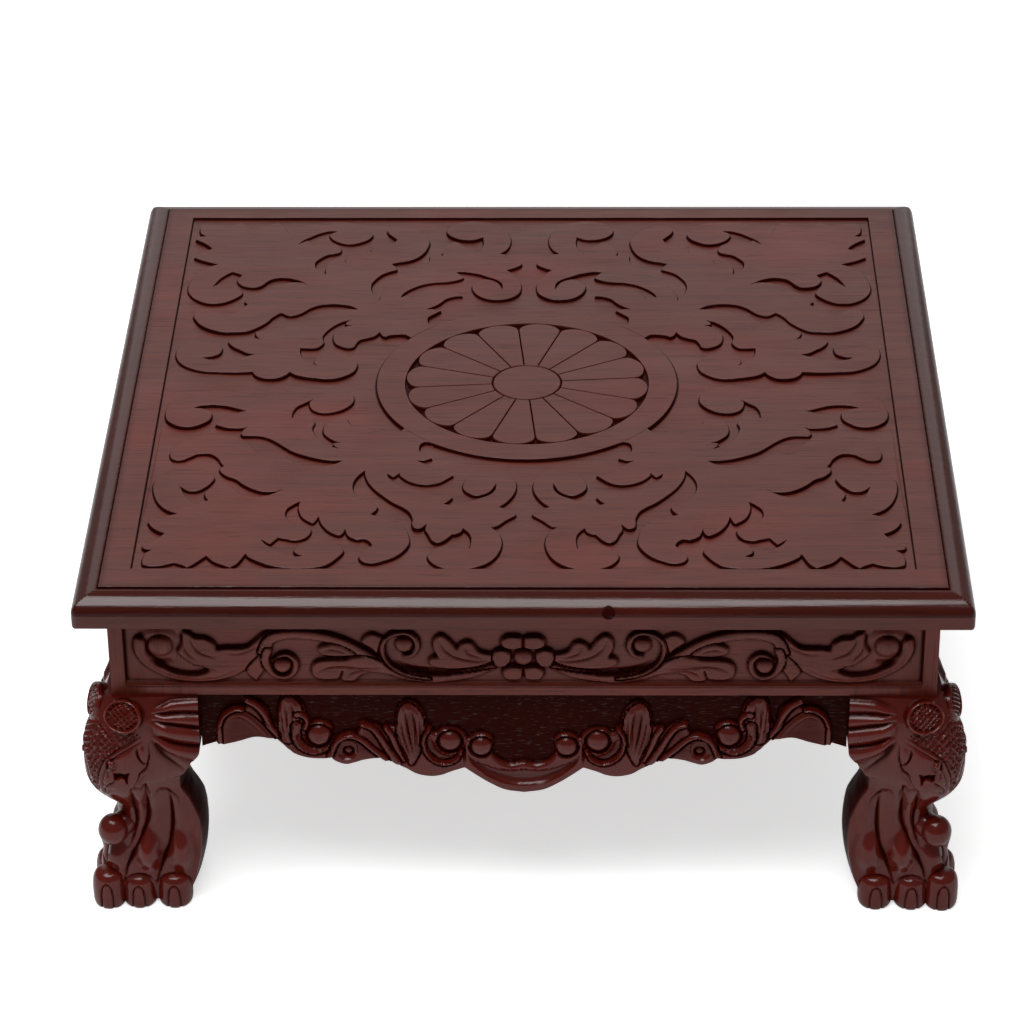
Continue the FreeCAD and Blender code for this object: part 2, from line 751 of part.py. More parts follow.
def build_brace():
    """A corner brace for the front left corner, notched round the post and flat under the top."""
    reach = size("brace_length")
    rail_x = face_x - size("rail_thick")
    rail_y = face_y - size("rail_thick")
    body = new_body("brace_front_left")
    sketch = new_sketch(body, "brace_plan", "XY", under_top - size("brace_height"))
    draw_polygon(sketch, [
        (-inner_x, -rail_y),
        (-inner_x + reach, -rail_y),
        (-rail_x, -inner_y + reach),
        (-rail_x, -inner_y),
        (-inner_x, -inner_y),
    ])
    add_pad(body, "brace_block", sketch, size("brace_height"))
    return body


def build_batten():
    """The right batten, under the top between the front and back rails, with bevelled ends."""
    reach = face_y - size("rail_thick")
    bevel = size("batten_bevel")
    low = under_top - size("batten_height")
    width = size("batten_width")
    near = inner_x - size("brace_length") - size("batten_clear") - width
    body = new_body("batten_right")
    sketch = new_sketch(body, "batten_side", "YZ", near)
    draw_polygon(sketch, [
        (-reach + bevel, low), (reach - bevel, low), (reach, low + bevel), (reach, under_top),
        (-reach, under_top), (-reach, low + bevel),
    ])
    add_pad(body, "batten_board", sketch, width)
    return body


def build_planks(blank):
    """The planks of the top, with their tongues and the plug in the front edge."""
    beyond = 5.0
    front_seam = -half_depth + size("plank_front")
    back_seam = half_depth - size("plank_back")
    inset = half_width - size("tongue_inset")
    middle = under_top + (size("top_thick") - size("relief_height")) / 2
    slots = []
    for side, seam in (("front", front_seam), ("back", back_seam)):
        half = size("tongue_width") / 2
        rise = size("tongue_thick") / 2
        slots.append(box(
            "slot_" + side,
            (-inset - gap, seam - half - gap, middle - rise - gap),
            (inset + gap, seam + half + gap, middle + rise + gap),
        ))
        tongue = box(
            "tongue_" + side, (-inset, seam - half, middle - rise), (inset, seam + half, middle + rise)
        )
        tongue.Label = "tongue_" + side
        parts.append(tongue)

    plugs = []
    for name, growth in (("edge_plug", 0.0), ("edge_plug_hole", gap.value)):
        plug = doc.addObject("Part::Cylinder", name)
        plug.setExpression("Radius", (size("plug_diameter") / 2 + growth).text)
        plug.setExpression("Height", (size("plug_length") + growth).text)
        plug.Placement = Placement(Vector(0, 0, 0), Rotation(Vector(1, 0, 0), -90))
        plug.setExpression("Placement.Base.x", size("plug_offset").text)
        plug.setExpression("Placement.Base.y", (-half_depth).text)
        plug.setExpression("Placement.Base.z", (under_top + size("plug_level")).text)
        plugs.append(plug)
    plugs[0].Label = "edge_plug"
    parts.append(plugs[0])

    holes = group_tools("plank_holes", slots + [plugs[1]])
    bounds = {
        "front": (-half_depth - beyond, front_seam),
        "middle": (front_seam, back_seam),
        "back": (back_seam, half_depth + beyond),
    }
    for side, (near, far) in bounds.items():
        stock = box(
            "stock_" + side,
            (-half_width - beyond, near, under_top - beyond), (half_width + beyond, far, height + beyond),
        )
        board = doc.addObject("Part::Common", "board_" + side)
        board.Base = blank
        board.Tool = stock
        parts.append(cut("top_plank_" + side, board, holes))


parts = []

# Top
build_planks(build_top())

# Frame: the front and the right piece are made, the back and the left repeat them
for kind, build in (("rail", build_rail), ("skirt", build_skirt)):
    front = build(kind + "_front", inner_x, face_y)
    parts.append(front)
    parts.append(clone(front, kind + "_back", 180))
    master = build(kind + "_side_pattern", inner_y, face_x)
    parts.append(clone(master, kind + "_right", 90))
    parts.append(clone(master, kind + "_left", -90))

# Legs: one carved shape stands at the four corners
carved = leg_shape()
for name, turn, side, end in (
    ("leg_front_right", 0, 1, -1), ("leg_back_right", 90, 1, 1),
    ("leg_back_left", 180, -1, 1), ("leg_front_left", 270, -1, -1),
):
    leg = doc.addObject("Part::Feature", name)
    leg.Label = name
    leg.Shape = carved
    leg.Placement = Placement(
        Vector(side * face_x.value, end * face_y.value, 0), Rotation(Vector(0, 0, 1), turn)
    )
    parts.append(leg)

# Inside: battens and corner braces
batten = build_batten()
parts += [batten, clone(batten, "batten_left", 180)]
skew = inner_x - inner_y
brace = build_brace()
parts.append(brace)
parts.append(clone(brace, "brace_front_right", 90, (skew, skew)))
parts.append(clone(brace, "brace_back_right", 180))
parts.append(clone(brace, "brace_back_left", -90, (-skew, -skew)))

doc.recompute()


def check_model():
    """Stops when a feature has failed, a pocket has cut nothing, or a piece is not valid."""
    for item in doc.Objects:
        if "Invalid" in item.State or "Error" in item.State:
            raise RuntimeError("%s failed" % item.Name)
        if item.TypeId == "PartDesign::Pocket":
            before = item.BaseFeature.Shape.Volume
            if item.Shape.Volume >= before - 0.5:
                raise RuntimeError("%s cuts nothing" % item.Name)
    for item in parts:
        if item.Shape.isNull() or not item.Shape.isValid():
            raise RuntimeError("%s is not a valid shape" % item.Label)


check_model()
os.makedirs("parts", exist_ok=True)
for item in parts:
    item.Shape.exportStep("parts/%s.step" % item.Label)
    print("%-20s %2d solids %10.0f mm3" % (item.Label, len(item.Shape.Solids), item.Shape.Volume))
print(len(parts), "nodes")
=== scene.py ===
import logging
import math
from dataclasses import astuple, dataclass, field, replace
from enum import Enum
from typing import Iterable

import bpy
import numpy as np
from mathutils import Matrix, Vector
from mathutils.geometry import delaunay_2d_cdt


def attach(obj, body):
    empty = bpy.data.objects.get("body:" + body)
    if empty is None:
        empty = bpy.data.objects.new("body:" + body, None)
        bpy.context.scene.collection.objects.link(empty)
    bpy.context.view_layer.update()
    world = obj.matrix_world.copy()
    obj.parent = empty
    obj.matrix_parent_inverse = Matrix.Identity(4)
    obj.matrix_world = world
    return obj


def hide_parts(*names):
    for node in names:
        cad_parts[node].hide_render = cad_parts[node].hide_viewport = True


# A carved low table of lacquered rosewood. Every length in a class is in millimetres and is turned
# to metres as a mesh is made. The front faces -Y, +X is to the right and the floor is at zero.
MM = 0.001
WHITE = (1.0, 1.0, 1.0, 1.0)
Array = np.ndarray
log = logging.getLogger("low_table")
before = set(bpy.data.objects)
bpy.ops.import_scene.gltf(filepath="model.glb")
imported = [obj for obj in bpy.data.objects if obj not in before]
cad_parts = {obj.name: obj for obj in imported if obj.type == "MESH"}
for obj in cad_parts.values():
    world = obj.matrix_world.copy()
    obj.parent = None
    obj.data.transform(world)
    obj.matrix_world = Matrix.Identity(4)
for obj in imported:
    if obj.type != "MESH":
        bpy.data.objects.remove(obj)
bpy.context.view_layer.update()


class Slot(Enum):
    """The material slots of the record."""

    TOP = "top_lacquer"
    CARVED = "carved_lacquer"


class Corner(Enum):
    """The four legs, as the sign of X and the sign of Y of their corner."""

    FRONT_LEFT = (-1, -1)
    FRONT_RIGHT = (1, -1)
    BACK_LEFT = (-1, 1)
    BACK_RIGHT = (1, 1)


class Side(Enum):
    """The four sides of the frame, with the quarter turns that bring the front there."""

    FRONT = 0
    RIGHT = 1
    BACK = 2
    LEFT = 3


# Lines and shapes drawn in a plane

def linear(hex_code: str) -> tuple[float, float, float, float]:
    """Turns an sRGB hex value to linear colour with full alpha.

    Args:
        hex_code: six hex digits.

    Returns:
        Red, green, blue and alpha.
    """
    parts = [int(hex_code[start:start + 2], 16) / 255 for start in (0, 2, 4)]
    light = [part / 12.92 if part <= 0.04045 else ((part + 0.055) / 1.055) ** 2.4 for part in parts]
    return light[0], light[1], light[2], 1.0


def spline(points: Array, step: float) -> Array:
    """A Catmull-Rom curve through points: each span is a cubic whose tangents join the neighbours.

    Args:
        points: the points, one row each.
        step: longest piece of the sampled curve.

    Returns:
        Points along the curve without its last one.
    """
    if len(points) == 2:
        count = max(1, math.ceil(np.linalg.norm(points[1] - points[0]) / step))
        return points[0] + (points[1] - points[0]) * (np.arange(count) / count)[:, None]
    ends = (2 * points[:1] - points[1:2], 2 * points[-1:] - points[-2:-1])
    padded = np.concatenate([ends[0], points, ends[1]])
    spans = []
    for index in range(len(points) - 1):
        before, start, end, after = padded[index:index + 4]
        count = max(1, math.ceil(np.linalg.norm(end - start) / step))
        t = (np.arange(count) / count)[:, None]
        spans.append(0.5 * (
            2 * start + (end - before) * t + (2 * before - 5 * start + 4 * end - after) * t ** 2
            + (3 * start - before - 3 * end + after) * t ** 3
        ))
    return np.concatenate(spans)


@dataclass(frozen=True)
class Trace:
    """A line given as "x,y" points, where a star marks a cusp between smooth runs."""

    text: str
    closed: bool = True
    step: float = 0.7

    def line(self) -> Array:
        """The sampled line, smooth between its cusps.

        Returns:
            Points, one row each. A closed line doesn't repeat its first point.
        """
        words = self.text.split()
        points = np.array([[float(part) for part in word.strip("*").split(",")] for word in words])
        cusps = [index for index, word in enumerate(words) if word.endswith("*")]
        if not self.closed:
            stops = sorted({0, len(points) - 1, *cusps})
            runs = [spline(points[a:b + 1], self.step) for a, b in zip(stops, stops[1:])]
            return np.concatenate(runs + [points[-1:]])
        if not cusps:
            ring = np.concatenate([points[-2:], points, points[:2]])
            sampled = spline(ring, self.step)
            first = np.argmin(np.linalg.norm(sampled - points[0], axis=1))
            last = first + np.argmin(np.linalg.norm(sampled[first + 2:] - points[0], axis=1)) + 2
            return sampled[first:last]
        points = np.roll(points, -cusps[0], axis=0)
        stops = [cusp - cusps[0] for cusp in cusps] + [len(points)]
        points = np.concatenate([points, points[:1]])
        return np.concatenate([spline(points[a:b + 1], self.step) for a, b in zip(stops, stops[1:])])


def nearest(
    points: Array, line: Array, closed: bool, chosen: Array | slice = slice(None)
) -> tuple[Array, Array]:
    """Distance from points to a line of straight pieces, by the foot on every piece.

    Args:
        points: the points, one row each.
        line: the line's points, one row each.
        closed: whether the last point joins the first.
        chosen: which of its pieces count.

    Returns:
        Each point's distance, and how far along the line its foot lies, from 0 to 1.
    """
    start = (line if closed else line[:-1])[chosen]
    span = (np.roll(line, -1, axis=0) if closed else line[1:])[chosen] - start
    length = np.maximum((span ** 2).sum(1), 1e-12)
    block = max(1, 3_000_000 // len(start))
    distance = np.empty(len(points))
    along = np.empty(len(points))
    for low in range(0, len(points), block):
        part = points[low:low + block]
        away = part[:, None, :] - start[None]
        t = np.clip((away * span).sum(2) / length, 0, 1)
        square = ((away - t[:, :, None] * span) ** 2).sum(2)
        best = square.argmin(1)
        rows = np.arange(len(part))
        distance[low:low + block] = np.sqrt(square[rows, best])
        along[low:low + block] = (best + t[rows, best]) / len(start)
    return distance, along


def inside(points: Array, ring: Array, chosen: Array | slice = slice(None)) -> Array:
    """Whether points lie inside a closed line, by counting its crossings to their right.

    Args:
        points: the points, one row each.
        ring: the closed line's points, one row each.
        chosen: which of its pieces count.

    Returns:
        One truth value for each point.
    """
    a_x, a_y = ring[chosen].T
    b_x, b_y = np.roll(ring, -1, axis=0)[chosen].T
    x = points[:, :1]
    y = points[:, 1:]
    crosses = (a_y > y) != (b_y > y)
    rise = np.where(b_y == a_y, 1e-12, b_y - a_y)
    right = x < a_x + (y - a_y) * (b_x - a_x) / rise
    return (crosses & right).sum(1) % 2 == 1


def rounded(share: Array) -> Array:
    """A quarter circle that rises from 0 at a share of 0 to 1 at a share of 1, and stays there."""
    return np.sqrt(1 - (1 - np.clip(share, 0, 1)) ** 2)


GROOVE_RISE = 2.5  # How far a groove round a form rises at its outer edge.


class Form:
    """One carved form of a relief: it changes the heights near its line."""

    reach: float = 0.0

    def line(self) -> Array:
        """The form's line."""
        raise NotImplementedError

    def change(self, points: Array, height: Array) -> Array:
        """The new heights at points near the form."""
        raise NotImplementedError

    def carve(self, across: Array, up: Array, height: Array) -> None:
        """Changes the heights of a panel where the form reaches.

        Args:
            across: first coordinate of the panel's points.
            up: second coordinate of the panel's points.
            height: the heights, changed in place.
        """
        line = self.line()
        low = line.min(0) - self.reach
        high = line.max(0) + self.reach
        near = (across >= low[0]) & (across <= high[0]) & (up >= low[1]) & (up <= high[1])
        if near.any():
            points = np.stack([across[near], up[near]], axis=1)
            height[near] = self.change(points, height[near])


@dataclass(frozen=True)
class Area(Form):
    """A form inside a closed outline."""

    text: str

    def line(self) -> Array:
        """The closed outline."""
        return Trace(self.text).line()


@dataclass(frozen=True)
class Stroke(Form):
    """A form along an open line."""

    text: str

    def line(self) -> Array:
        """The open line."""
        return Trace(self.text, closed=False).line()


@dataclass(frozen=True)
class Spot(Form):
    """A form round its middle."""

    across: float
    up: float

    def line(self) -> Array:
        """The middle alone."""
        return np.array([[self.across, self.up]])


@dataclass(frozen=True)
class Leaf(Area):
    """A raised area with a rounded edge: height follows a quarter circle in from the outline."""

    top: float = -0.4
    edge: float = 2.6
    root: float = -3.0
    seat: float = 0.75

    @property
    def reach(self) -> float:
        """How far the groove round the area reaches from the outline."""
        return self.seat

    def change(self, points: Array, height: Array) -> Array:
        """Raises the inside of the outline and sinks a narrow groove round it.

        Args:
            points: points near the form.
            height: their heights.

        Returns:
            Their new heights.
        """
        ring = self.line()
        within = inside(points, ring)
        distance, _ = nearest(points, ring, True)
        rise = self.root + (self.top - self.root) * rounded(distance / self.edge)
        groove = self.root + GROOVE_RISE * np.clip(distance / self.seat, 0, None) ** 2
        return np.where(within, np.maximum(height, rise), np.minimum(height, groove))


@dataclass(frozen=True)
class Stem(Stroke):
    """A round ridge along an open line, whose width goes from one end's to the other's.

    Its section is a half ellipse at a crown of 0.5, and flatter on top below that.
    """

    start: float = 2.0
    end: float = 2.0
    top: float = -0.3
    root: float = -3.0
    seat: float = 0.75
    crown: float = 0.5

    @property
    def reach(self) -> float:
        """How far the ridge and its groove reach from its line."""
        return max(self.start, self.end) + self.seat

    def change(self, points: Array, height: Array) -> Array:
        """Raises the ridge between two narrow grooves.

        Args:
            points: points near the form.
            height: their heights.

        Returns:
            Their new heights.
        """
        distance, along = nearest(points, self.line(), False)
        width = self.start + (self.end - self.start) * along
        section = np.clip(1 - (distance / width) ** 2, 0, 1) ** self.crown
        rise = self.root + (self.top - self.root) * section
        groove = self.root + GROOVE_RISE * np.clip((distance - width) / self.seat, 0, None) ** 2
        return np.where(distance < width, np.maximum(height, rise), np.minimum(height, groove))


@dataclass(frozen=True)
class Knob(Spot):
    """A round knob: a cap of an ellipsoid, set in a narrow groove."""

    radius: float
    top: float = 0.0
    root: float = -3.0
    seat: float = 0.8

    @property
    def reach(self) -> float:
        """How far the knob and its groove reach from the middle."""
        return self.radius + self.seat

    def change(self, points: Array, height: Array) -> Array:
        """Raises the knob and sinks the groove round it.

        Args:
            points: points near the form.
            height: their heights.

        Returns:
            Their new heights.
        """
        distance = np.hypot(points[:, 0] - self.across, points[:, 1] - self.up)
        section = np.sqrt(np.clip(1 - (distance / self.radius) ** 2, 0, 1))
        cap = self.root + (self.top - self.root) * section
        groove = np.minimum(height, self.root)
        return np.where(distance < self.radius, cap, np.where(distance < self.reach, groove, height))


@dataclass(frozen=True)
class Cut(Stroke):
    """A groove of a V tool along an open line: deepest in the middle and run out at both ends."""

    width: float = 0.9
    depth: float = 0.9
    softness: float = 1.0

    @property
    def reach(self) -> float:
        """How far the groove reaches from its line."""
        return self.width

    def change(self, points: Array, height: Array) -> Array:
        """Sinks the groove: straight sides at a softness of 1, round shoulders above it.

        Args:
            points: points near the form.
            height: their heights.

        Returns:
            Their new heights.
        """
        distance, along = nearest(points, self.line(), False)
        run_out = np.clip(np.sin(np.pi * np.clip(along, 0.02, 0.98)), 0, 1) ** 0.4
        return height - self.depth * run_out * np.clip(1 - distance / self.width, 0, 1) ** self.softness


def cuts(width: float, depth: float, *texts: str) -> list[Cut]:
    """Grooves of one width and depth, each along a line of its own."""
    return [Cut(text, width, depth) for text in texts]


@dataclass(frozen=True)
class Swell(Spot):
    """A smooth swelling over an oval, like a knuckle under skin."""

    wide: float
    tall: float
    rise: float

    @property
    def reach(self) -> float:
        """How far the swelling reaches from its middle."""
        return max(self.wide, self.tall)

    def change(self, points: Array, height: Array) -> Array:
        """Raises the oval by the square of one less the squared share of the way to its edge."""
        square = ((points[:, 0] - self.across) / self.wide) ** 2 + ((points[:, 1] - self.up) / self.tall) ** 2
        return height + self.rise * np.clip(1 - square, 0, 1) ** 2


@dataclass(frozen=True)
class Dish(Area):
    """A hollow inside a closed outline, rounded down from its rim to a flat floor."""

    depth: float = 2.0
    edge: float = 3.0

    def change(self, points: Array, height: Array) -> Array:
        """Sinks the inside of the rim along a quarter circle.

        Args:
            points: points near the form.
            height: their heights.

        Returns:
            Their new heights.
        """
        ring = self.line()
        within = inside(points, ring)
        result = height.copy()
        if within.any():
            distance, _ = nearest(points[within], ring, True)
            result[within] -= self.depth * rounded(distance / self.edge)
        return result


def blurred(height: Array, cells: int) -> Array:
    """A running mean over a square of cells, twice, with the edge values repeated.

    Args:
        height: a grid of heights.
        cells: how many cells the mean reaches each way.

    Returns:
        The smoothed grid.
    """
    result = height
    for _ in range(2):
        for axis in (0, 1):
            pad = [(0, 0), (0, 0)]
            pad[axis] = (cells + 1, cells)
            total = np.cumsum(np.pad(result, pad, mode="edge"), axis=axis)
            width = 2 * cells + 1
            high = np.take(total, range(width, total.shape[axis]), axis=axis)
            low = np.take(total, range(0, total.shape[axis] - width), axis=axis)
            result = (high - low) / width
    return result


def hollowness(height: Array, spacing: float, reach: float = 2.6) -> Array:
    """How deep each place lies below the mean round it: 0.5 is level, 1 a deep hollow, 0 a crest.

    The depth counts by 0.42 of the reach, and by no less than a millimetre.

    Args:
        height: a grid of heights.
        spacing: the distance between its points.
        reach: how far round a place the mean is taken.

    Returns:
        A grid from 0 to 1.
    """
    below = blurred(height, max(1, round(reach / spacing))) - height
    return np.clip(0.5 + 0.46 * below / max(1.0, 0.42 * reach), 0, 1)


# Meshes

@dataclass
class Shell:
    """Points and faces of one closed surface, with its hollowness and its gloss at each point."""

    points: Array
    faces: list
    hollow: Array
    gloss: Array | float = 0.0

    def turned(self, matrix: Array, flip: bool = False) -> "Shell":
        """The same shell under a 3 by 3 matrix, with its faces flipped where that mirrors it."""
        faces = [face[..., ::-1] for face in self.faces] if flip else self.faces
        return replace(self, points=self.points @ matrix.T, faces=faces)

    def moved(self, offset: Iterable[float]) -> "Shell":
        """The same shell moved by an offset."""
        return replace(self, points=self.points + np.array(list(offset), float))

    def polished(self, gloss: Array | float) -> "Shell":
        """The same shell with a gloss, from 0 for satin to 1 for full gloss."""
        return replace(self, gloss=gloss)


def grid_quads(rows: int, columns: int, around: bool) -> Array:
    """Quads between neighbouring points of a grid.

    Args:
        rows: how many rows of points.
        columns: how many points in a row.
        around: whether the last point of a row joins the first.

    Returns:
        One row of four point numbers for each quad.
    """
    index = np.arange(rows * columns).reshape(rows, columns)
    if around:
        index = np.concatenate([index, index[:, :1]], axis=1)
    corners = (index[:-1, :-1], index[:-1, 1:], index[1:, 1:], index[1:, :-1])
    return np.stack([corner.ravel() for corner in corners], axis=1)


def tube(rings: Array, hollow: Array | None = None) -> Shell:
    """A closed surface through rings of points, with a flat face on the first and last ring.

    Args:
        rings: points as (ring, place in the ring, 3). Seen from the last ring they run
            anticlockwise.
        hollow: hollowness of each point.

    Returns:
        The shell.
    """
    count, size = rings.shape[:2]
    ends = [np.arange(size)[::-1][None], np.arange((count - 1) * size, count * size)[None]]
    faces = [grid_quads(count, size, True)] + ends
    shade = np.full(count * size, 0.5) if hollow is None else hollow.ravel()
    return Shell(rings.reshape(-1, 3), faces, shade)


def build_mesh(name: str, shells: list[Shell], sharp: float = 35.0) -> bpy.types.Object:
    """Joins shells into one object, smooth but for edges over an angle.

    Args:
        name: the object's name.
        shells: the shells, in millimetres.
        sharp: the angle in degrees.

    Returns:
        The object, at the origin, with its hollowness and gloss as point attributes.
    """
    points = np.concatenate([shell.points for shell in shells]) * MM
    starts = np.cumsum([0] + [len(shell.points) for shell in shells[:-1]])
    blocks = [face + start for shell, start in zip(shells, starts) for face in shell.faces]
    corners = np.concatenate([block.ravel() for block in blocks])
    sizes = np.concatenate([np.full(len(block), block.shape[1]) for block in blocks])
    mesh = bpy.data.meshes.new(name)
    mesh.vertices.add(len(points))
    mesh.vertices.foreach_set("co", points.astype(np.float32).ravel())
    mesh.loops.add(len(corners))
    mesh.loops.foreach_set("vertex_index", corners.astype(np.int32))
    mesh.polygons.add(len(sizes))
    mesh.polygons.foreach_set("loop_start", (np.cumsum(sizes) - sizes).astype(np.int32))
    mesh.update(calc_edges=True)
    mesh.polygons.foreach_set("use_smooth", np.ones(len(sizes), bool))
    gloss = [np.broadcast_to(shell.gloss, shell.hollow.shape) for shell in shells]
    for label, values in (("hollow", [shell.hollow for shell in shells]), ("gloss", gloss)):
        layer = mesh.attributes.new(label, "FLOAT", "POINT")
        layer.data.foreach_set("value", np.concatenate(values).astype(np.float32))
    mesh.validate()
    mesh.set_sharp_from_angle(angle=math.radians(sharp))
    thing = bpy.data.objects.new(name, mesh)
    bpy.context.scene.collection.objects.link(thing)
    return thing


def turn_about_z(quarters: int) -> Array:
    """The matrix of a number of quarter turns about Z."""
    sine, cosine = ((0, 1), (1, 0), (0, -1), (-1, 0))[quarters % 4]
    return np.array([[cosine, -sine, 0], [sine, cosine, 0], [0, 0, 1]], float)


# The top

# One quarter of the leaves of the panel, from the middle of the top towards its corner.
SPRAY = Trace("""65.5,50.3* 69,54 73,54.3 77,53.5 80,51.5* 82,53 83.5,57* 86,52.5 90,50 94,48 96,44
97.5,39.5 101.5,38.8 107,42.5 109,47.5 109.2,54 107.5,58.5 103,63.5 99.5,65* 103,66 102.5,69 100.3,71.5*
106,68 111,62 114.5,55 115.5,50 114.5,45 115.5,41.5 118,38.8 122,38.3 127.3,38.7* 127,33 125,27 121.5,23.5
117,19* 118.5,22 118,27 116,31 112,33.5 107,33.5 102,31.5 98,28 95,23 94.5,18 96,12 100,7.5 105,4.5 111,3.7
118,5 124,6.5 128.5,8.5 131.5,11.5* 133,8.5 137,5 142,4 147,5 150.5,8 152.3,12* 155,11.5 163,11 172,11.5
180,12.3 187,15.5 192.5,20.5 195.5,27 196.3,34 195,41 191,46 186,48.5 180,48.2 175.5,45.5 172,41.5 171,37
172,32 176,29 181,28* 178,26 172,24.8 165,25.8 158.5,28.5 152.5,31.5* 157,33 161,36.5 164,39 167,43
168,46.5* 163,49.2 158,50 153,50 150.5,48.7* 152.6,52 153.5,56 152.5,58.3* 150,58.3 144,58.5 138.5,61
133.5,65.5 129,70.5 124.5,75 118,79 110,82.5 103,84 97,83.8* 102,88 110,90 118,89 124,85 128,80 131.5,77
136,76 140.5,79.5* 142,78 145,74 148,68 152.5,62.5 158,58 165,57 172,57 179,60 185,65 188.5,71 190,76 189,82
186,84 182,83.5* 178,80 175,77.5 170,77 166.5,79 163.5,83 162,87 160.3,90* 162,92 161.5,96 158,100.5
153,103.7 149,108.5 144,113 138,116 131,115.8 127.5,113.3* 133,118.5 140,121.5 146,121 150,118 153,113*
156,110.3 160,110 164.5,111.5 167.5,115.5 168,120 166,124.8* 169,127 172,128.8* 176,124 179,119 182,110.5*
180.5,112.5 177,115.5 172,115.3 168.5,112 166,108 164.5,101.7 169.5,95 176,91 184,91 191,96 195,103 196,111
194.5,120.5 191.5,128.5 187,134.5 181,138.3* 184,139.5 190,142.5 195.5,146.5* 193.5,151 190,155 186,157.5*
188,161 192,165.5 196.3,169* 195.5,172.5 191,173.5* 194,177 195,183 194.5,188* 190,189.5 184,188.5
178.5,186* 174,188.5 171.5,190.8* 168,187 162.5,179.5* 158.5,185 154,188 149.5,190.8* 146,186.5 142.5,177.5*
140.5,181 134,186 127,189.5 120,191 112,191.3 103,189.5 98.5,186 94.5,180 92.5,175 94.5,169.5 99,165.5
104,163.3 109.5,164 114.5,167.5 117.5,172.5 117.2,176.5 113.5,179.5* 118,179.8 124,176.5 129,172 133,168
135.5,163.5* 132,167 130.5,168* 128,164 126.8,161.8* 123,163 118,164.5 113,162.5 110.5,158 110.5,153.5
113,151.5 118,149.5 122,145 124.5,140 124,134 121,129.5 117.5,126* 118,131 117.5,136 115.5,142 111.5,146.5
109,147 107,141* 106,146 104.5,150 101.5,155 97,159 94,158.5 92.5,153.5* 91.5,158 90,161 86,163.5 82.5,163
79.5,165.5 78,169* 80,172 83,176.5 84,181 82,185 77,186.5 72,184.5 66,180.5 61.5,174.5 59,167.5 59.5,160
61.5,152.5 65,146.5 70,142.5 76,140.5 80,138.8* 77.5,135 76.7,131.3* 80,129.5 84.5,126 88,120.5 90.5,114
90.5,107 88.5,100.5 85,94.5* 84.5,100 82.5,107 79,114 74,121 69,127 63.5,132 60,136.5 58,143 58,148 57,152
53.5,152.5 50.5,148.5* 51,154 49.5,158 47.5,164 44.5,166.5 41,164.5 37,158.5* 35,158 32.5,156 31.5,152.5*
28.5,157 27,163 27.5,172* 31,169.5 35,168.5 41,169.5 45.5,172.5 48.5,177 48.5,182.5 45,188 39.5,191.5
33,192.5 26,191 19,187 14,180 11.5,171 11.5,163 13.5,156 17,151.5* 13.5,150 9.5,145 4.5,140* 5,137 9,133.5
13,131.3* 9,126 5.5,118 4.5,110 6,102 11.5,96.5 18.5,95 25.5,97 30.5,102.5 32.5,109.5 31.5,115 27,119.5
22.5,119.2 18,115.5 15,107.5* 15.5,114 18.5,119 24,122.8 30,126.5 38,129 42,128.2* 39.5,125 38,121.5
41,118.8 47,116.5 55,115.5 62,112.5 68,107.5 72,102 73,97.8* 69.5,101 66.5,97* 66,100 62,105 57,108 51,109
45,107 40.5,102.5 38,99.5* 42,99 47,96 50,91.5 53,88 58,83.8* 54,84 49.8,82* 53,78.5 56.5,74.5 57,70.5
56,66.5 53,64.5 49.3,66.3*""", step=0.9)


def offset(line: Array, distance: float, closed: bool = True) -> Array:
    """A line moved sideways along its normals, to its right for a positive distance.

    Args:
        line: the line's points, one row each.
        distance: how far it moves.
        closed: whether the last point joins the first.

    Returns:
        The moved line.
    """
    ahead = np.roll(line, -1, axis=0)
    behind = np.roll(line, 1, axis=0)
    if not closed:
        ahead[-1] = line[-1]
        behind[0] = line[0]
    along = ahead - behind
    along /= np.maximum(np.linalg.norm(along, axis=1, keepdims=True), 1e-9)
    return line + distance * np.stack([along[:, 1], -along[:, 0]], axis=1)


def circle(radius: float, step: float) -> Array:
    """Points on a circle about the middle, anticlockwise and a step apart."""
    angle = np.linspace(0, math.tau, math.ceil(math.tau * radius / step), endpoint=False)
    return radius * np.stack([np.cos(angle), np.sin(angle)], axis=1)


@dataclass
class Plan:
    """Lines in the plane that a surface must follow, joined into triangles by a Delaunay mesh."""

    points: list = field(default_factory=list)
    edges: list = field(default_factory=list)
    count: int = 0

    def add(self, line: Array, closed: bool = True) -> None:
        """Adds a line as fixed edges.

        Args:
            line: the line's points, one row each.
            closed: whether the last point joins the first.
        """
        index = np.arange(len(line)) + self.count
        edges = np.stack([index, np.roll(index, -1)], axis=1)
        self.points.append(line)
        self.edges.append(edges if closed else edges[:-1])
        self.count += len(line)

    def triangles(self) -> tuple[Array, Array]:
        """Joins all lines into triangles over their convex hull.

        Returns:
            The points, and three point numbers for each triangle, anticlockwise from above.
        """
        points = np.concatenate(self.points).tolist()
        edges = np.concatenate(self.edges).tolist()
        found = delaunay_2d_cdt(points, edges, [], 0, 1e-4)
        return np.array(found[0])[:, :2], np.array(found[2])


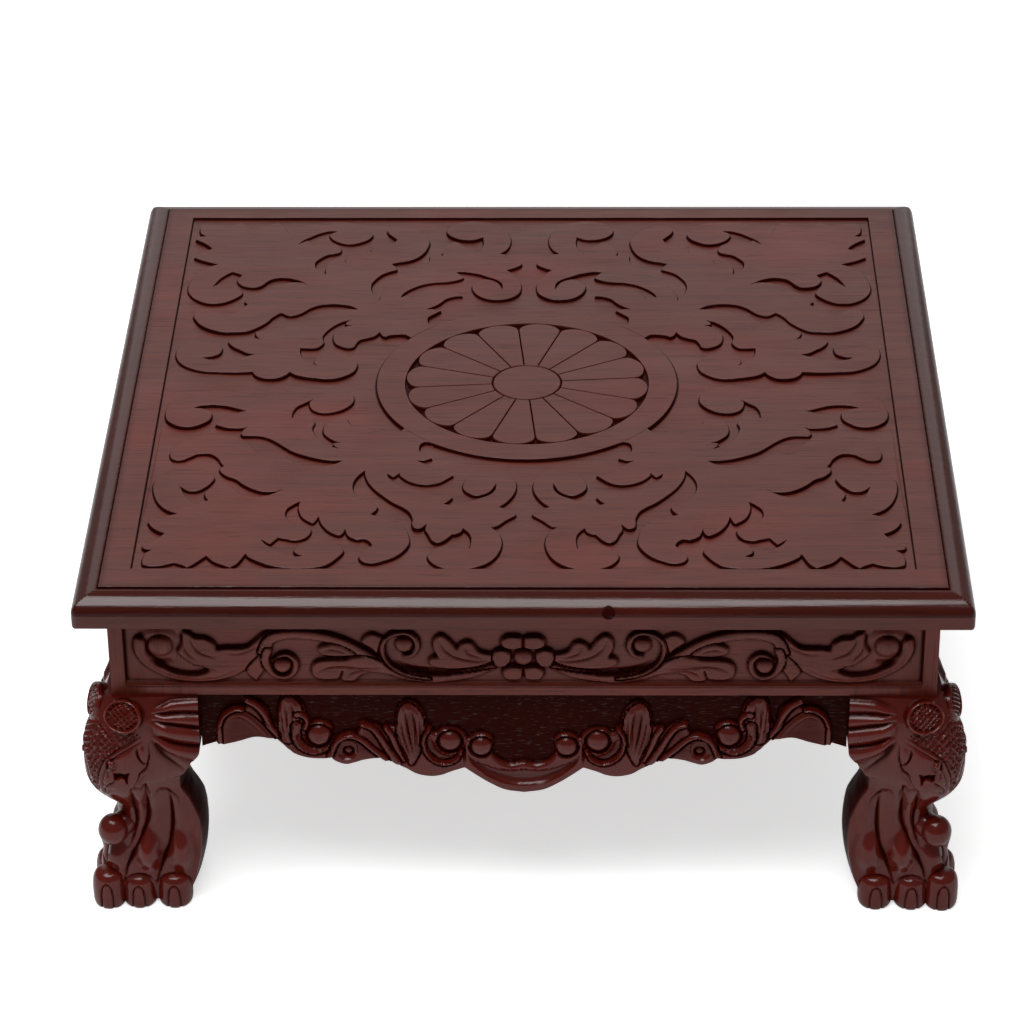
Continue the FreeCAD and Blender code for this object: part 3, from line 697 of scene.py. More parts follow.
@dataclass
class Top:
    """The carved top of three planks, with a moulded edge and a flat relief."""

    width: float = 457.0
    depth: float = 444.0
    level: float = 200.0
    thick: float = 17.4
    corner: float = 4.0
    seams: tuple[float, float] = (-150.0, 36.0)
    mould_width: float = 13.3
    quirk_drop: float = 1.0
    quirk_flat: float = 0.6
    fascia: float = 7.8
    panel_x: float = 200.3
    panel_front: float = -191.5
    panel_back: float = 197.0
    relief: float = 1.5
    wall: float = 0.4
    arris: float = 0.3
    hub: float = 18.9
    petals: int = 16
    petal_turn: float = 5.0
    petal_root: float = 58.5
    petal_tip: float = 66.5
    ring_in: float = 67.2
    ring_out: float = 82.6
    pocket: float = 2.0
    under_arris: float = 0.6
    groove: float = 0.7
    slit: float = 0.5
    petal_cut: float = 0.9
    pocket_wall: float = 0.4
    far: float = 9.0
    tile: float = 14.0
    tile_margin: float = 4.0

    def mould_levels(self) -> tuple[Array, Array]:
        """The moulded edge as distance in from the edge and drop from the top.

        The quirk is a small step down to a narrow flat. From there a quarter ellipse falls to the
        plain fascia.

        Returns:
            The distances from the edge inwards, and the heights below the top.
        """
        spring = self.mould_width - self.quirk_flat
        foot = self.fascia - self.thick
        angle = np.linspace(0, math.pi / 2, 13)
        round_in = spring * (1 - np.cos(angle))
        round_up = foot + (-self.quirk_drop - foot) * np.sin(angle)
        steps = np.array([
            [self.mould_width - 0.25, -self.quirk_drop - 0.5],
            [self.mould_width, -0.2],
            [self.mould_width + 0.35, 0.0],
            [self.mould_width + 4.0, 0.0],
        ])
        return np.append(round_in, steps[:, 0]), np.append(round_up, steps[:, 1])

    def scallop(self) -> Array:
        """The ends of the petals: each bulges out by a half ellipse between two grooves.

        Returns:
            The line through all petal ends, anticlockwise.
        """
        share = np.linspace(-1, 1, 25)[:-1]
        bulge = self.petal_root + (self.petal_tip - self.petal_root) * np.sqrt(1 - share ** 2)
        pitch = math.tau / self.petals
        start = math.radians(self.petal_turn) + (np.arange(self.petals) + 0.5) * pitch
        angle = (start[:, None] + share * pitch / 2).ravel()
        radius = np.tile(bulge, self.petals)
        return np.stack([radius * np.cos(angle), radius * np.sin(angle)], axis=1)

    def spray_lines(self) -> list[Array]:
        """The outline of the leaves in each of the four quarters.

        Returns:
            The four lines, all anticlockwise.
        """
        line = SPRAY.line()
        area = np.sum(line[:, 0] * np.roll(line[:, 1], -1) - line[:, 1] * np.roll(line[:, 0], -1))
        line = line if area > 0 else line[::-1]
        quarters = []
        for x, y in ((1, 1), (-1, 1), (1, -1), (-1, -1)):
            mirrored = line * (x, y)
            quarters.append(mirrored if x * y > 0 else mirrored[::-1])
        return quarters

    def rectangle(self, inset: float) -> Array:
        """A rectangle inside the top's edge, with its points closest near the corners.

        Args:
            inset: its distance from the edge.

        Returns:
            Its points, anticlockwise.
        """
        near = np.array([0, 0.5, 1, 1.5, 2, 2.5, 3, 3.5, 4, 5, 7, 10, 15, 25, 40, 60, 85, 120, 160])
        sides = []
        for turn in range(4):
            half = (self.width / 2, self.depth / 2) if turn % 2 == 0 else (self.depth / 2, self.width / 2)
            reach = half[0] - inset
            along = np.concatenate([near - reach, (reach - near)[:0:-1]])
            side = np.stack([along, np.full(len(along), inset - half[1])], axis=1)
            sides.append(side @ turn_about_z(turn)[:2, :2].T)
        return np.concatenate(sides)

    def plan(self) -> Plan:
        """Draws the edges of the moulding, the planks, the panel, the leaves and the rosette.

        Returns:
            All lines of the top's surface.
        """
        plan = Plan()
        for inset in self.mould_levels()[0]:
            plan.add(self.rectangle(inset))
        for seam in self.seams:
            across = np.linspace(-self.width / 2, self.width / 2, 58)
            plan.add(np.stack([across, np.full(len(across), seam)], axis=1), closed=False)
        for out in (-1.0, -self.arris, 0.0, self.wall, 1.0):
            border = [(-1, self.panel_front + out), (1, self.panel_front + out),
                      (1, self.panel_back - out), (-1, self.panel_back - out)]
            plan.add(np.array([(x * (self.panel_x - out), y) for x, y in border]))
        for line in self.spray_lines():
            for distance in (-self.arris, 0.0, self.wall, 1.0):
                plan.add(offset(line, distance))
        for out in (-self.groove, 0.0, self.groove):
            plan.add(circle(self.hub + out, 2.0))
        for radius in (
            self.ring_in - self.pocket_wall, self.ring_in, self.ring_in + self.arris,
            self.ring_out - self.arris, self.ring_out, self.ring_out + self.wall, self.ring_out + 1.6,
        ):
            plan.add(circle(radius, 1.6))
        scallop = self.scallop()
        plan.add(scallop)
        plan.add(offset(scallop, self.pocket_wall))
        for index in range(self.petals):
            angle = math.radians(self.petal_turn) + index * math.tau / self.petals
            along = np.array([math.cos(angle), math.sin(angle)])
            aside = np.array([-along[1], along[0]])
            reach = np.linspace(self.hub + self.groove, self.petal_root + 0.5, 8)[:, None]
            for side in (-self.slit, 0.0, self.slit):
                plan.add(reach * along + side * aside, closed=False)
        return plan

    def relief_height(self, points: Array) -> tuple[Array, Array]:
        """Height of the carved surface at points, and its hollowness.

        Inside the panel the ground lies below the leaves, the ring and the border, and a steep
        wall joins them. The rosette has a round groove, straight slits and deep pockets. Distances
        to the leaves are worked out tile by tile, and past a tile's margin they count as far.

        Args:
            points: the points, one row each.

        Returns:
            Height below the top, and hollowness.
        """
        quarter = np.abs(points)
        x, y = points.T
        radius = np.hypot(x, y)
        ring = SPRAY.line()
        after = np.roll(ring, -1, axis=0)
        leaf = np.full(len(points), -self.far)
        tile = np.floor(quarter / self.tile).astype(int)
        for key in np.unique(tile, axis=0):
            mask = (tile == key).all(1)
            low = key * self.tile - self.tile_margin
            high = key * self.tile + self.tile + self.tile_margin
            close = ((ring >= low) & (ring <= high)).all(1)
            level = (np.minimum(ring, after)[:, 1] <= high[1]) & (np.maximum(ring, after)[:, 1] >= low[1])
            within = inside(quarter[mask], ring, level)
            reach = self.far
            if close.any():
                reach, _ = nearest(quarter[mask], ring, True, close)
            leaf[mask] = np.where(within, reach, -reach)
        beyond = (quarter[:, 0] - self.panel_x, self.panel_front - y, y - self.panel_back)
        border = np.maximum.reduce(beyond)
        solid = np.maximum.reduce([leaf, self.ring_out - radius, border])
        # The ground wavers by a quarter, so the walls are taller in some places.
        waver = 1 + 0.25 * np.sin(x / 21.0 + 1.0) * np.cos(y / 17.0 - 0.5)
        height = -self.relief * waver * np.clip(-solid / self.wall, 0, 1)
        height -= 0.17 * np.clip(1 - solid / self.arris, 0, 1) * (solid > -0.01)
        # The walls, and the ground close beside them, get painted shade.
        hollow = np.where(solid < -0.01, 0.5 + 0.5 * np.clip((1.0 + solid) / 0.6, 0, 1), 0.5)
        hollow = np.where(np.abs(solid) <= 0.01, 0.85, hollow)
        line = 0.14 * np.clip(1 - np.abs(radius - self.ring_out) / self.arris, 0, 1)
        height = np.minimum(height, -line)

        inner = radius < self.ring_in
        groove = 1 - np.abs(radius - self.hub) / self.groove
        pitch = math.tau / self.petals
        angle = np.arctan2(y, x) - math.radians(self.petal_turn)
        off = (angle + pitch / 2) % pitch - pitch / 2
        between = (radius > self.hub) & (radius < self.petal_root + 1)
        slit = np.where(between, 1 - np.abs(radius * np.sin(off)) / self.slit, 0)
        groove = np.clip(np.maximum(groove, slit), 0, 1)
        tip = self.petal_root + (self.petal_tip - self.petal_root) * rounded(np.abs(off) / (pitch / 2))
        gap = inner & (radius > tip)
        deep = np.zeros(len(points))
        if gap.any():
            to_petal, _ = nearest(points[gap], self.scallop(), True)
            to_wall = np.minimum(to_petal, self.ring_in - radius[gap])
            deep[gap] = np.clip(to_wall / self.pocket_wall, 0, 1)
        height = np.where(inner, np.minimum(-self.petal_cut * groove, -self.pocket * deep), height)
        # The rosette's grooves and pockets get painted shade.
        hollow = np.where(inner, 0.5 + 0.5 * np.maximum(groove, deep), hollow)
        return height, hollow

    def surface(self) -> tuple[Array, Array, Array]:
        """The whole upper surface.

        Returns:
            Points with their height, hollowness, and the triangles.
        """
        points, triangles = self.plan().triangles()
        reach_x = self.width / 2 - np.abs(points[:, 0])
        reach_y = self.depth / 2 - np.abs(points[:, 1])
        inset = np.minimum(reach_x, reach_y)
        distances, drops = self.mould_levels()
        carved, hollow = self.relief_height(points)
        height = np.where(inset < distances[-1], np.interp(inset, distances, drops), carved)
        # The quirk gets painted shade, and the foot of the round a painted dark reflection.
        quirk = 0.5 + 0.5 * np.clip(1 - np.abs(inset - self.mould_width + 0.4) / 1.2, 0, 1)
        quirk = quirk + 0.2 * np.clip((2.8 - inset) / 1.6, 0, 1)
        hollow = np.where(inset < distances[-1], quirk, hollow)
        # The corner is rounded by the map of a square to a disc.
        u = np.clip(self.corner - reach_x, 0, self.corner) / self.corner
        v = np.clip(self.corner - reach_y, 0, self.corner) / self.corner
        both = (u > 0) & (v > 0)
        shift_x = np.where(both, u - u * np.sqrt(1 - v ** 2 / 2), 0) * self.corner
        shift_y = np.where(both, v - v * np.sqrt(1 - u ** 2 / 2), 0) * self.corner
        place = points - np.sign(points) * np.stack([shift_x, shift_y], axis=1)
        return np.column_stack([place, height + self.level]), hollow, triangles

    def plank(self, name: str, low: float, high: float, surface: tuple) -> bpy.types.Object:
        """One plank between two seams: its part of the surface, its edges and its flat underside.

        Args:
            name: the object's name.
            low: where it starts along Y.
            high: where it ends along Y.
            surface: the whole upper surface.

        Returns:
            The object.
        """
        points, hollow, triangles = surface
        middle = points[triangles, 1].mean(1)
        chosen = triangles[(middle > low) & (middle < high)]
        used, faces = np.unique(chosen, return_inverse=True)
        faces = faces.reshape(-1, 3)
        upper = points[used]
        rim = boundary(faces)
        edge = upper[rim]
        foot = edge.copy()
        foot[:, 2] = self.level - self.thick + self.fascia - 0.4
        straight = edge.copy()
        straight[:, 2] = self.level - self.thick + self.under_arris
        under = straight.copy()
        under[:, 2] = self.level - self.thick
        reach = self.width / 2 - self.under_arris
        under[:, 0] = np.clip(under[:, 0], -reach, reach)
        under[:, 1] = np.clip(under[:, 1], max(low, -self.depth / 2) + self.under_arris,
                              min(high, self.depth / 2) - self.under_arris)
        base = len(upper)
        size = len(rim)
        first = np.concatenate([rim, [rim[0]]])
        second = np.concatenate([np.arange(size), [0]]) + base
        third = second + size
        walls = [np.stack([lower[:-1], lower[1:], above[1:], above[:-1]], axis=1)
                 for above, lower in ((first, second), (second, third), (third, third + size))]
        bottom = (np.arange(size)[::-1] + base + 2 * size)[None]
        shade = np.concatenate([hollow[used], np.full(3 * size, 0.5)])
        # The round of the moulded edge is polished, and the flats and the fascia are satin.
        inset = np.minimum(self.width / 2 - np.abs(upper[:, 0]), self.depth / 2 - np.abs(upper[:, 1]))
        drop = self.level - upper[:, 2]
        polish = np.clip(self.mould_width - inset, 0, 1) * (drop < self.thick - self.fascia + 0.1)
        gloss = np.concatenate([np.maximum(polish, np.clip(2 * hollow[used] - 1, 0, 1)), np.zeros(3 * size)])
        shell = Shell(np.concatenate([upper, foot, straight, under]), [faces, *walls, bottom], shade, gloss)
        piece = build_mesh(name, [shell])
        # Flats keep one normal, so that the arris beside them doesn't shade them.
        normals = np.empty(3 * len(piece.data.polygons), np.float32)
        piece.data.polygons.foreach_get("normal", normals)
        piece.data.polygons.foreach_set("use_smooth", np.abs(normals[2::3]) < 0.998)
        return piece

    def build(self, finish: bpy.types.Material) -> None:
        """Builds the three planks.

        Args:
            finish: their material.
        """
        surface = self.surface()
        stops = [-self.depth, *self.seams, self.depth]
        for name, low, high in zip(("front", "middle", "back"), stops, stops[1:]):
            piece = self.plank("carved_plank_" + name, low, high, surface)
            finish_piece(piece, finish, Slot.TOP, "top_plank_" + name)


@dataclass
class Plug:
    """The round wooden plug in the front edge: its end follows the round of the moulding."""

    across: float = 43.4
    up: float = 192.4
    radius: float = 3.4
    proud: float = 0.12
    root: float = -213.0
    gloss: float = 0.3

    def build(self, top: Top, finish: bpy.types.Material) -> None:
        """Builds the plug.

        Args:
            top: the top that holds it.
            finish: its material.
        """
        insets, drops = top.mould_levels()
        angle = np.linspace(0, math.tau, 40, endpoint=False)
        rings = []
        for share in (1.0, 0.9, 0.6, 0.3, 0.05):
            x = self.across + self.radius * share * np.cos(angle)
            z = self.up + self.radius * share * np.sin(angle)
            inset = np.interp(z - top.level, drops, insets)
            rings.append(np.stack([x, inset - top.depth / 2 - self.proud * (share < 1), z], axis=1))
        foot = rings[0].copy()
        foot[:, 1] = self.root
        shell = tube(np.stack([foot] + rings)).polished(self.gloss)
        shell.hollow[:] = 1.0
        finish_piece(build_mesh("moulding_plug", [shell]), finish, Slot.TOP, "edge_plug")


def boundary(faces: Array) -> Array:
    """The rim of a flat patch of triangles, as point numbers in order along its edges.

    Args:
        faces: three point numbers for each triangle, anticlockwise.

    Returns:
        The point numbers, anticlockwise.
    """
    edges = np.concatenate([faces[:, [0, 1]], faces[:, [1, 2]], faces[:, [2, 0]]])
    size = edges.max() + 1
    key = edges[:, 0] * size + edges[:, 1]
    back = edges[:, 1] * size + edges[:, 0]
    lone = edges[~np.isin(key, back)]
    after = dict(lone.tolist())
    place = int(lone[0, 0])
    rim = [place]
    while after[place] != rim[0]:
        place = after[place]
        rim.append(place)
    return np.array(rim)


def finish_piece(piece: bpy.types.Object, finish: bpy.types.Material, slot: Slot, *nodes: str) -> None:
    """Gives a piece its material and its body, and hides the CAD nodes it stands for.

    Args:
        piece: the piece.
        finish: its material.
        slot: its material slot in the record; not used.
        nodes: the CAD nodes it replaces.
    """
    piece.data.materials.append(finish)
    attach(piece, "root")
    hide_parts(*nodes)
    log.info("%s: %d faces", piece.name, len(piece.data.polygons))


# Frieze rails

FRIEZE_FORMS = (
    # The C scroll at the end with the broad base of the vine, then the stem that rises out of it.
    Leaf("""199,-32 199.8,-40 196,-48 190,-53 182,-57 172,-59 160,-58.7 150,-56 143,-52 137,-46.5 133.5,-41*
131,-36 127,-33.5 121,-33* 124,-28 130,-28 134,-30* 138,-34 142,-37 148,-37.5 153,-37.5 157,-38.5*
158.5,-34.5 163,-31.5 168,-31 171,-28.5 174,-28 175,-35 178,-41* 171,-47.5 165,-50 161.5,-51.5* 167,-53.6
174,-53.6 181,-51.5 189,-46 193,-41 193.5,-36 195,-32""", edge=1.6),
    Stem("""133,-40 130,-33.5 124,-30.5 116,-29.8 104,-31 92,-35 80,-42.5 70,-49.5 58,-54 44,-56 30,-54
18,-50 10,-47""", start=3.0, end=2.4, crown=0.25),
    Leaf("134,-42 142.5,-52 137.5,-59* 133,-52*", top=-0.9, edge=1.5),
    Stem("""131,-40 132.5,-45 131,-50.5 127,-54.8 121.5,-55.8 117.5,-52 117,-46.5 120.5,-42.5 125,-43
128,-46""", start=2.2, end=1.1, top=-0.6, crown=0.25),
    Knob(123.8, -49.3, 4.6),
    Leaf("105.5,-39 102,-36 96,-35.8 90,-38.5 86,-42.5 91,-43.5 98,-43.6 103.5,-42.3", top=-1.0, edge=1.5),
    Leaf("""86,-43 92,-44.6 100,-44.8 106,-46 108.8,-50 108.5,-55 105,-57.5 99,-57.8 94.5,-56.8 93,-52.5*
94,-57.5 90,-58.8 86,-58 83,-55 78,-53.5 70,-54.5 62,-57.5 50,-59.5 40,-59 28,-57 20,-54 12,-50* 20,-51
30,-53 44,-54 58,-52.5 70,-47.5 78,-43.5""", top=-0.7, edge=1.5),
    Leaf("83,-34.5 80,-30 76,-29.3 71,-32* 73.5,-37 75,-41.5 78,-38.5", top=-0.9, edge=1.5),
    Stem("""48,-56.6 54,-55.8 60,-54 66,-50.5 70.5,-45.5 72.3,-39 70.5,-33 65.5,-29.5 59.5,-29 55.5,-32
54.3,-37 56.5,-41.5 60,-43""", start=0.8, end=1.6, top=-0.4, crown=0.25),
    Knob(61.0, -36.3, 4.7),
    Leaf("""48.6,-46 46.5,-43 44,-43.5* 46.3,-38 46,-33 43.5,-30 41,-29.8 37.5,-33 34,-38* 32,-35 29,-33.6
26,-34.5 22.5,-39.5 16,-41.5 13.5,-45* 20,-48.5 28,-50.5 36,-51 43,-50.5 47.5,-49""", top=-0.7, edge=1.5),
    # Flower of six petals round a button.
    Leaf("0.5,-37.5 0.5,-31.5 3,-30.3 8,-30.3 11,-32.5 11.2,-36.5 8,-38.6 4.5,-38.8 2,-38.3",
         top=-0.3, edge=1.4),
    Leaf("6.5,-41 8.5,-38.9 12,-38.3 15,-39.8 15.8,-44 14.5,-48 11,-49.3 8,-48 6.5,-46 6.2,-43.5",
         top=-0.3, edge=1.4),
    Leaf("0.5,-49.5 3,-48.9 6.5,-48.6 9.5,-50 10.8,-53.5 9,-57 5,-57.6 1.5,-57 0.5,-55",
         top=-0.3, edge=1.4),
    Knob(0.0, -44.0, 5.0, top=-0.1),
    Knob(186.3, -37.6, 6.3),
    # Deep pocket between the ball, the scroll and the overhanging top.
    Cut("197.5,-33 194,-29 188,-27.4 181,-28.2 177,-31", 2.6, 1.6),
    Cut("193,-44 187,-47.4 180,-46.6", 2.2, 1.4),
    Cut("66,-47 58,-50.5 48,-52 38,-52", 1.4, 0.9),
    # Veins of the leaves.
    *cuts(0.9, 0.9, "176,-30 174.5,-36 172.5,-41 168,-45.5", "170,-50 165,-49 158,-51.5",
          "106,-53 101,-50.5 94,-49.5 84,-50.5 74,-50.5", "43,-33 40.5,-39 35,-43.5 26,-46 17,-45.5"),
    Cut("171,-31 169,-37 165,-41.5 158,-44", 0.8, 0.9),
    *cuts(0.8, 0.6, "196,-36 195.5,-43 190,-49.5 181,-54.5 170,-56.5 157,-55.5 146,-50",
          "152,-41 146,-41.5 139,-38.5 133,-33.5", "103,-40 97,-39.5 90,-41.5"),
    *cuts(0.8, 0.7, "91,-57 89,-54 84,-52 76,-51.5", "30,-37 28,-41.5 21,-44"),
    Cut("72,-56.5 60,-56.2 46,-57.8 32,-56.5 20,-52.8", 0.7, 0.6),
    Cut("128,-32 116,-31.2 103,-33 91,-37.5 79,-45 69,-51.5", 0.7, 0.5),
)


@dataclass(frozen=True)
class Frieze:
    """The sunk panel and its vine, drawn for the front and stretched to a side's half width."""

    half: float = 212.5
    low: float = -62.0
    high: float = -23.4
    side: float = 7.5
    sink: float = 3.2
    ground: float = 2.9
    seen_rise: float = 1.7
    undercut: float = 0.8
    wall: float = 0.5
    shade_reach: float = 1.3
    ledge_shade: float = 0.8
    lip: float = 1.1
    lip_shade: float = 0.52

    def surface(self, across: Array, up: Array) -> tuple[Array, Array]:
        """The carving of the frieze against its plain frame.

        Args:
            across: distance from the middle, drawn for the front, along the rows of a grid.
            up: height from the top of the table, down or up its columns.

        Returns:
            The heights and the hollowness.
        """
        across = np.abs(across)
        edge = np.minimum.reduce([self.half - self.side - across, up - self.low, self.high - up])
        carving = np.full(across.shape, -self.ground)
        # The vine was drawn as it is seen from above, where sunk outlines look higher up.
        for form in FRIEZE_FORMS:
            form.carve(across, up + self.seen_rise, carving)
        # A groove follows the frame, and the ground rises a little from it.
        groove = 1.2 * np.clip(edge, 0, 1) ** 2 - self.sink
        carving = np.where(edge < 1, np.minimum(carving, groove), carving)
        height = np.maximum(carving, -self.sink - self.undercut) * np.clip(edge / self.wall, 0, 1)
        # Walls that face upwards get painted shade, but the frame's own lip is left without it.
        step = up[1, 0] - up[0, 0]
        ledge = blurred(np.clip(-np.gradient(height, step, axis=0) - 0.5, 0, 1), 1)
        shade = np.maximum(hollowness(height, abs(step), self.shade_reach), 0.5 + self.ledge_shade * ledge)
        lip = np.clip(1.6 - (up - self.low) / self.lip, 0, 1) * (up > self.low - 0.7)
        return height, np.clip(shade, 0, 1) * (1 - lip) + self.lip_shade * lip


def panel_shell(grid: Array, hollow: Array, back: float) -> Shell:
    """A board whose front is a grid of points, with straight edges and a flat back.

    Args:
        grid: the front as (row, column, 3), rows from the top down and columns from left to right.
        hollow: hollowness of the front.
        back: where the back lies along Y.

    Returns:
        The shell.
    """
    rows, columns = grid.shape[:2]
    index = np.arange(rows * columns).reshape(rows, columns)
    rim = np.concatenate([index[:-1, 0], index[-1, :-1], index[:0:-1, -1], index[0, :0:-1]])
    behind = grid.reshape(-1, 3)[rim].copy()
    behind[:, 1] = back
    far = np.arange(len(rim)) + rows * columns
    near_next = np.roll(rim, -1)
    far_next = np.roll(far, -1)
    front = np.roll(grid_quads(rows, columns, False)[:, ::-1], 1, axis=1)
    edges = np.stack([rim, far, far_next, near_next], axis=1)
    shade = np.concatenate([hollow.ravel(), np.full(len(rim), 0.5)])
    return Shell(np.concatenate([grid.reshape(-1, 3), behind]), [front, edges, far[::-1][None]], shade)


@dataclass
class Board:
    """A board of the frame between two posts, with a carved front."""

    side: Side
    half_length: float = 168.0
    face: float = 206.0
    stretch: float = 1.0
    thick: float = 22.0
    level: float = 200.0
    spacing: float = 0.62
    kind: str = "rail"
    gloss: float = 0.0

    def front(self) -> tuple[Array, Array]:
        """The points of the front on a grid, and its hollowness."""
        raise NotImplementedError

    def build(self, finish: bpy.types.Material) -> None:
        """Builds the board on its side of the frame.

        Args:
            finish: its material.
        """
        shell = panel_shell(*self.front(), self.thick - self.face).polished(self.gloss)
        name = f"{self.kind}_{self.side.name.lower()}"
        piece = build_mesh("carved_" + name, [shell.turned(turn_about_z(self.side.value))])
        finish_piece(piece, finish, Slot.CARVED, name)


@dataclass
class Rail(Board):
    """One rail of the frame, with its part of the frieze."""

    low: float = 132.1
    high: float = 182.6

    def front(self) -> tuple[Array, Array]:
        """The frieze on an even grid.

        Returns:
            Its points and its hollowness.
        """
        columns = round(2 * self.half_length / self.spacing) + 1
        rows = round((self.high - self.low) / self.spacing) + 1
        x, z = np.meshgrid(np.linspace(-self.half_length, self.half_length, columns),
                           np.linspace(self.high, self.low, rows))
        height, shade = Frieze().surface(x / self.stretch, z - self.level)
        return np.stack([x, -self.face - height, z], axis=2), shade


# Skirts

# The scalloped edge of a skirt, from its middle outwards.
SKIRT_LOW = Trace("""0,-130 10,-128.3 18,-124 25,-119 31,-114.2* 38,-116.8 43,-119 49,-119.8 56,-118.3
62,-114.5 70,-110.4 76,-108.4 83,-109.3 88,-111 93,-112.2 98,-110.4 100.5,-108.3* 105,-108.6 112,-108.2
118,-106.3 122,-103.5 127,-98 133,-95 140,-94.2 148,-96.8 157,-99.3 163,-101.3 168,-103.1""", closed=False)
SKIRT_FORMS = (
    # The carving as a whole, proud of the sunk ground, then what stands on it.
    Leaf("""-6,-113 7,-112.5 13,-110 16.5,-105 15.5,-98 19,-93.5 25,-93.5 29,-96 31,-93 35,-90.5 42,-90
46,-92.5 50,-88 51,-82 54,-76 58,-73 63,-74 66,-79 67,-88 70,-88.5 72,-91 76,-88 84,-85.5 85,-89 88,-93.5
93,-93.5 97,-96 100,-95 99,-90 102,-86.5 107,-85.5 112,-87 114,-84 113,-79 115,-74 119,-70 124,-69.5 127,-75
128,-84 131,-88 132,-80 136,-74.5 143.5,-71 144,-76 151,-77 156,-81 159,-88 159.5,-98 160,-112* 100,-135
-6,-140*""", top=-1.6, edge=2.4, root=-5.6),
    Leaf("""158.5,-100 158.5,-89 156,-82.5 151,-79 146,-78.8 141,-81.5 136,-87 131,-94 126,-101 120,-108
130,-112 150,-110""", top=-0.5, edge=3.0, root=-4.5),
    Stem("158.5,-98 158,-88 155,-81.5 150,-78 145.5,-78", start=1.6, end=1.0, top=0.0, root=-3.0),
    Stem("143,-72.5 138,-76 134.5,-81.5 132,-88 128,-94", start=2.0, end=1.6, top=-0.4, root=-4.0),
    Leaf("127,-92 127.5,-80 124.5,-71.5 120.5,-70.5 116,-74.5 114.5,-81 117.5,-86 120,-92 121,-99 125,-98",
         top=-0.3, edge=3.5, root=-4.5),
    Stem("117.5,-80.5 114,-82.5 112.5,-86 113.5,-90", start=1.6, end=1.2, top=-0.8, root=-4.0),
    Stem("118,-88 118.5,-96 115,-102 109,-104.5 103,-102.5 99.5,-97",
         start=2.6, end=1.4, top=-0.6, root=-4.0),
    Knob(106.5, -94.5, 6.4, top=0.2, root=-4.0, seat=1.0),
    Stem("101,-107 98.5,-101 95.5,-96.5 90,-94.6 84.5,-97 79,-102.5 72,-109",
         start=1.6, end=1.8, top=-0.2, root=-4.0),
    Knob(91.5, -105.0, 2.6, top=-1.4, root=-4.0, seat=0.4),
    Stem("84,-87.5 79,-89.5 75,-95 71,-103 66,-111", start=1.4, end=2.2, top=-0.4, root=-4.0),
    Stem("71.5,-90 69,-94 66.5,-101 62.5,-109", start=1.6, end=1.8, top=-0.5, root=-4.0),
    Leaf("""66,-92 65,-80 61.5,-74.5 57.5,-75 53,-80.5 51.5,-89 52,-98 54.5,-106 58.5,-113 61.5,-108
64.5,-100""", top=-0.2, edge=3.8, root=-4.5),
    Stem("49,-90 52,-96 51.5,-103.5 47.5,-109.5 41.5,-112 35.5,-109.5 32.5,-104",
         start=1.2, end=1.2, top=-0.3, root=-4.0),
    Knob(38.5, -98.2, 6.2, top=0.2, root=-4.0, seat=0.9),
    Knob(22.2, -101.5, 5.8, top=0.2, root=-4.0, seat=0.9),
    *cuts(1.0, 1.6, "31,-95 31,-104 31,-113", "100.8,-95 101.2,-101 100.6,-108"),
    # Ribs of the two tall leaves.
    *cuts(0.9, 1.2, "64,-83 63,-92 61,-101 58.5,-109", "61.5,-77 60.5,-87 59,-97 57,-107",
          "58,-77 56.5,-87 56,-97 56.3,-104"),
    *cuts(0.8, 1.0, "54.5,-82 53.6,-90 54,-98 55.3,-103", "126,-78 125.5,-87 124.5,-96"),
    *cuts(0.9, 1.1, "123.5,-73 123,-83 122.5,-94", "120,-73.5 119.5,-81 120.5,-89"),
    Cut("137,-80 134,-86 129.5,-92.5", 0.8, 0.8),
    Cut("152,-83 147,-82 141,-86.5 135.5,-93.5", 0.8, 0.5),
)
# Scooped hollows stay as bright as what stands round them: the crescent under the middle, with a rim
# along the lower edge, and the insides of the volutes.
SKIRT_SCOOPS = (
    Dish("""0,-126 9,-124.6 17,-121 23,-116.4 27.5,-111.5 29,-107* 24,-110.5 17,-113.8 8,-115.6 -8,-115.6
-9,-124.6""", depth=3.4, edge=5.2),
    Dish("97,-100 94,-97.8 89,-97.8 86.5,-101 87,-106 90,-109 94.5,-109 97.5,-105.5", depth=2.0, edge=4.0),
    Dish("50,-97 50.3,-104 47,-109 41,-111 36,-109 33.5,-105.5 40,-106.5 45,-103 47,-98",
         depth=2.2, edge=3.2),
    Dish("118.5,-94 117,-100 112,-104.5 106,-105.5 101.5,-103.5 107,-102.5 112.5,-99 114.5,-93",
         depth=1.8, edge=2.6),
)


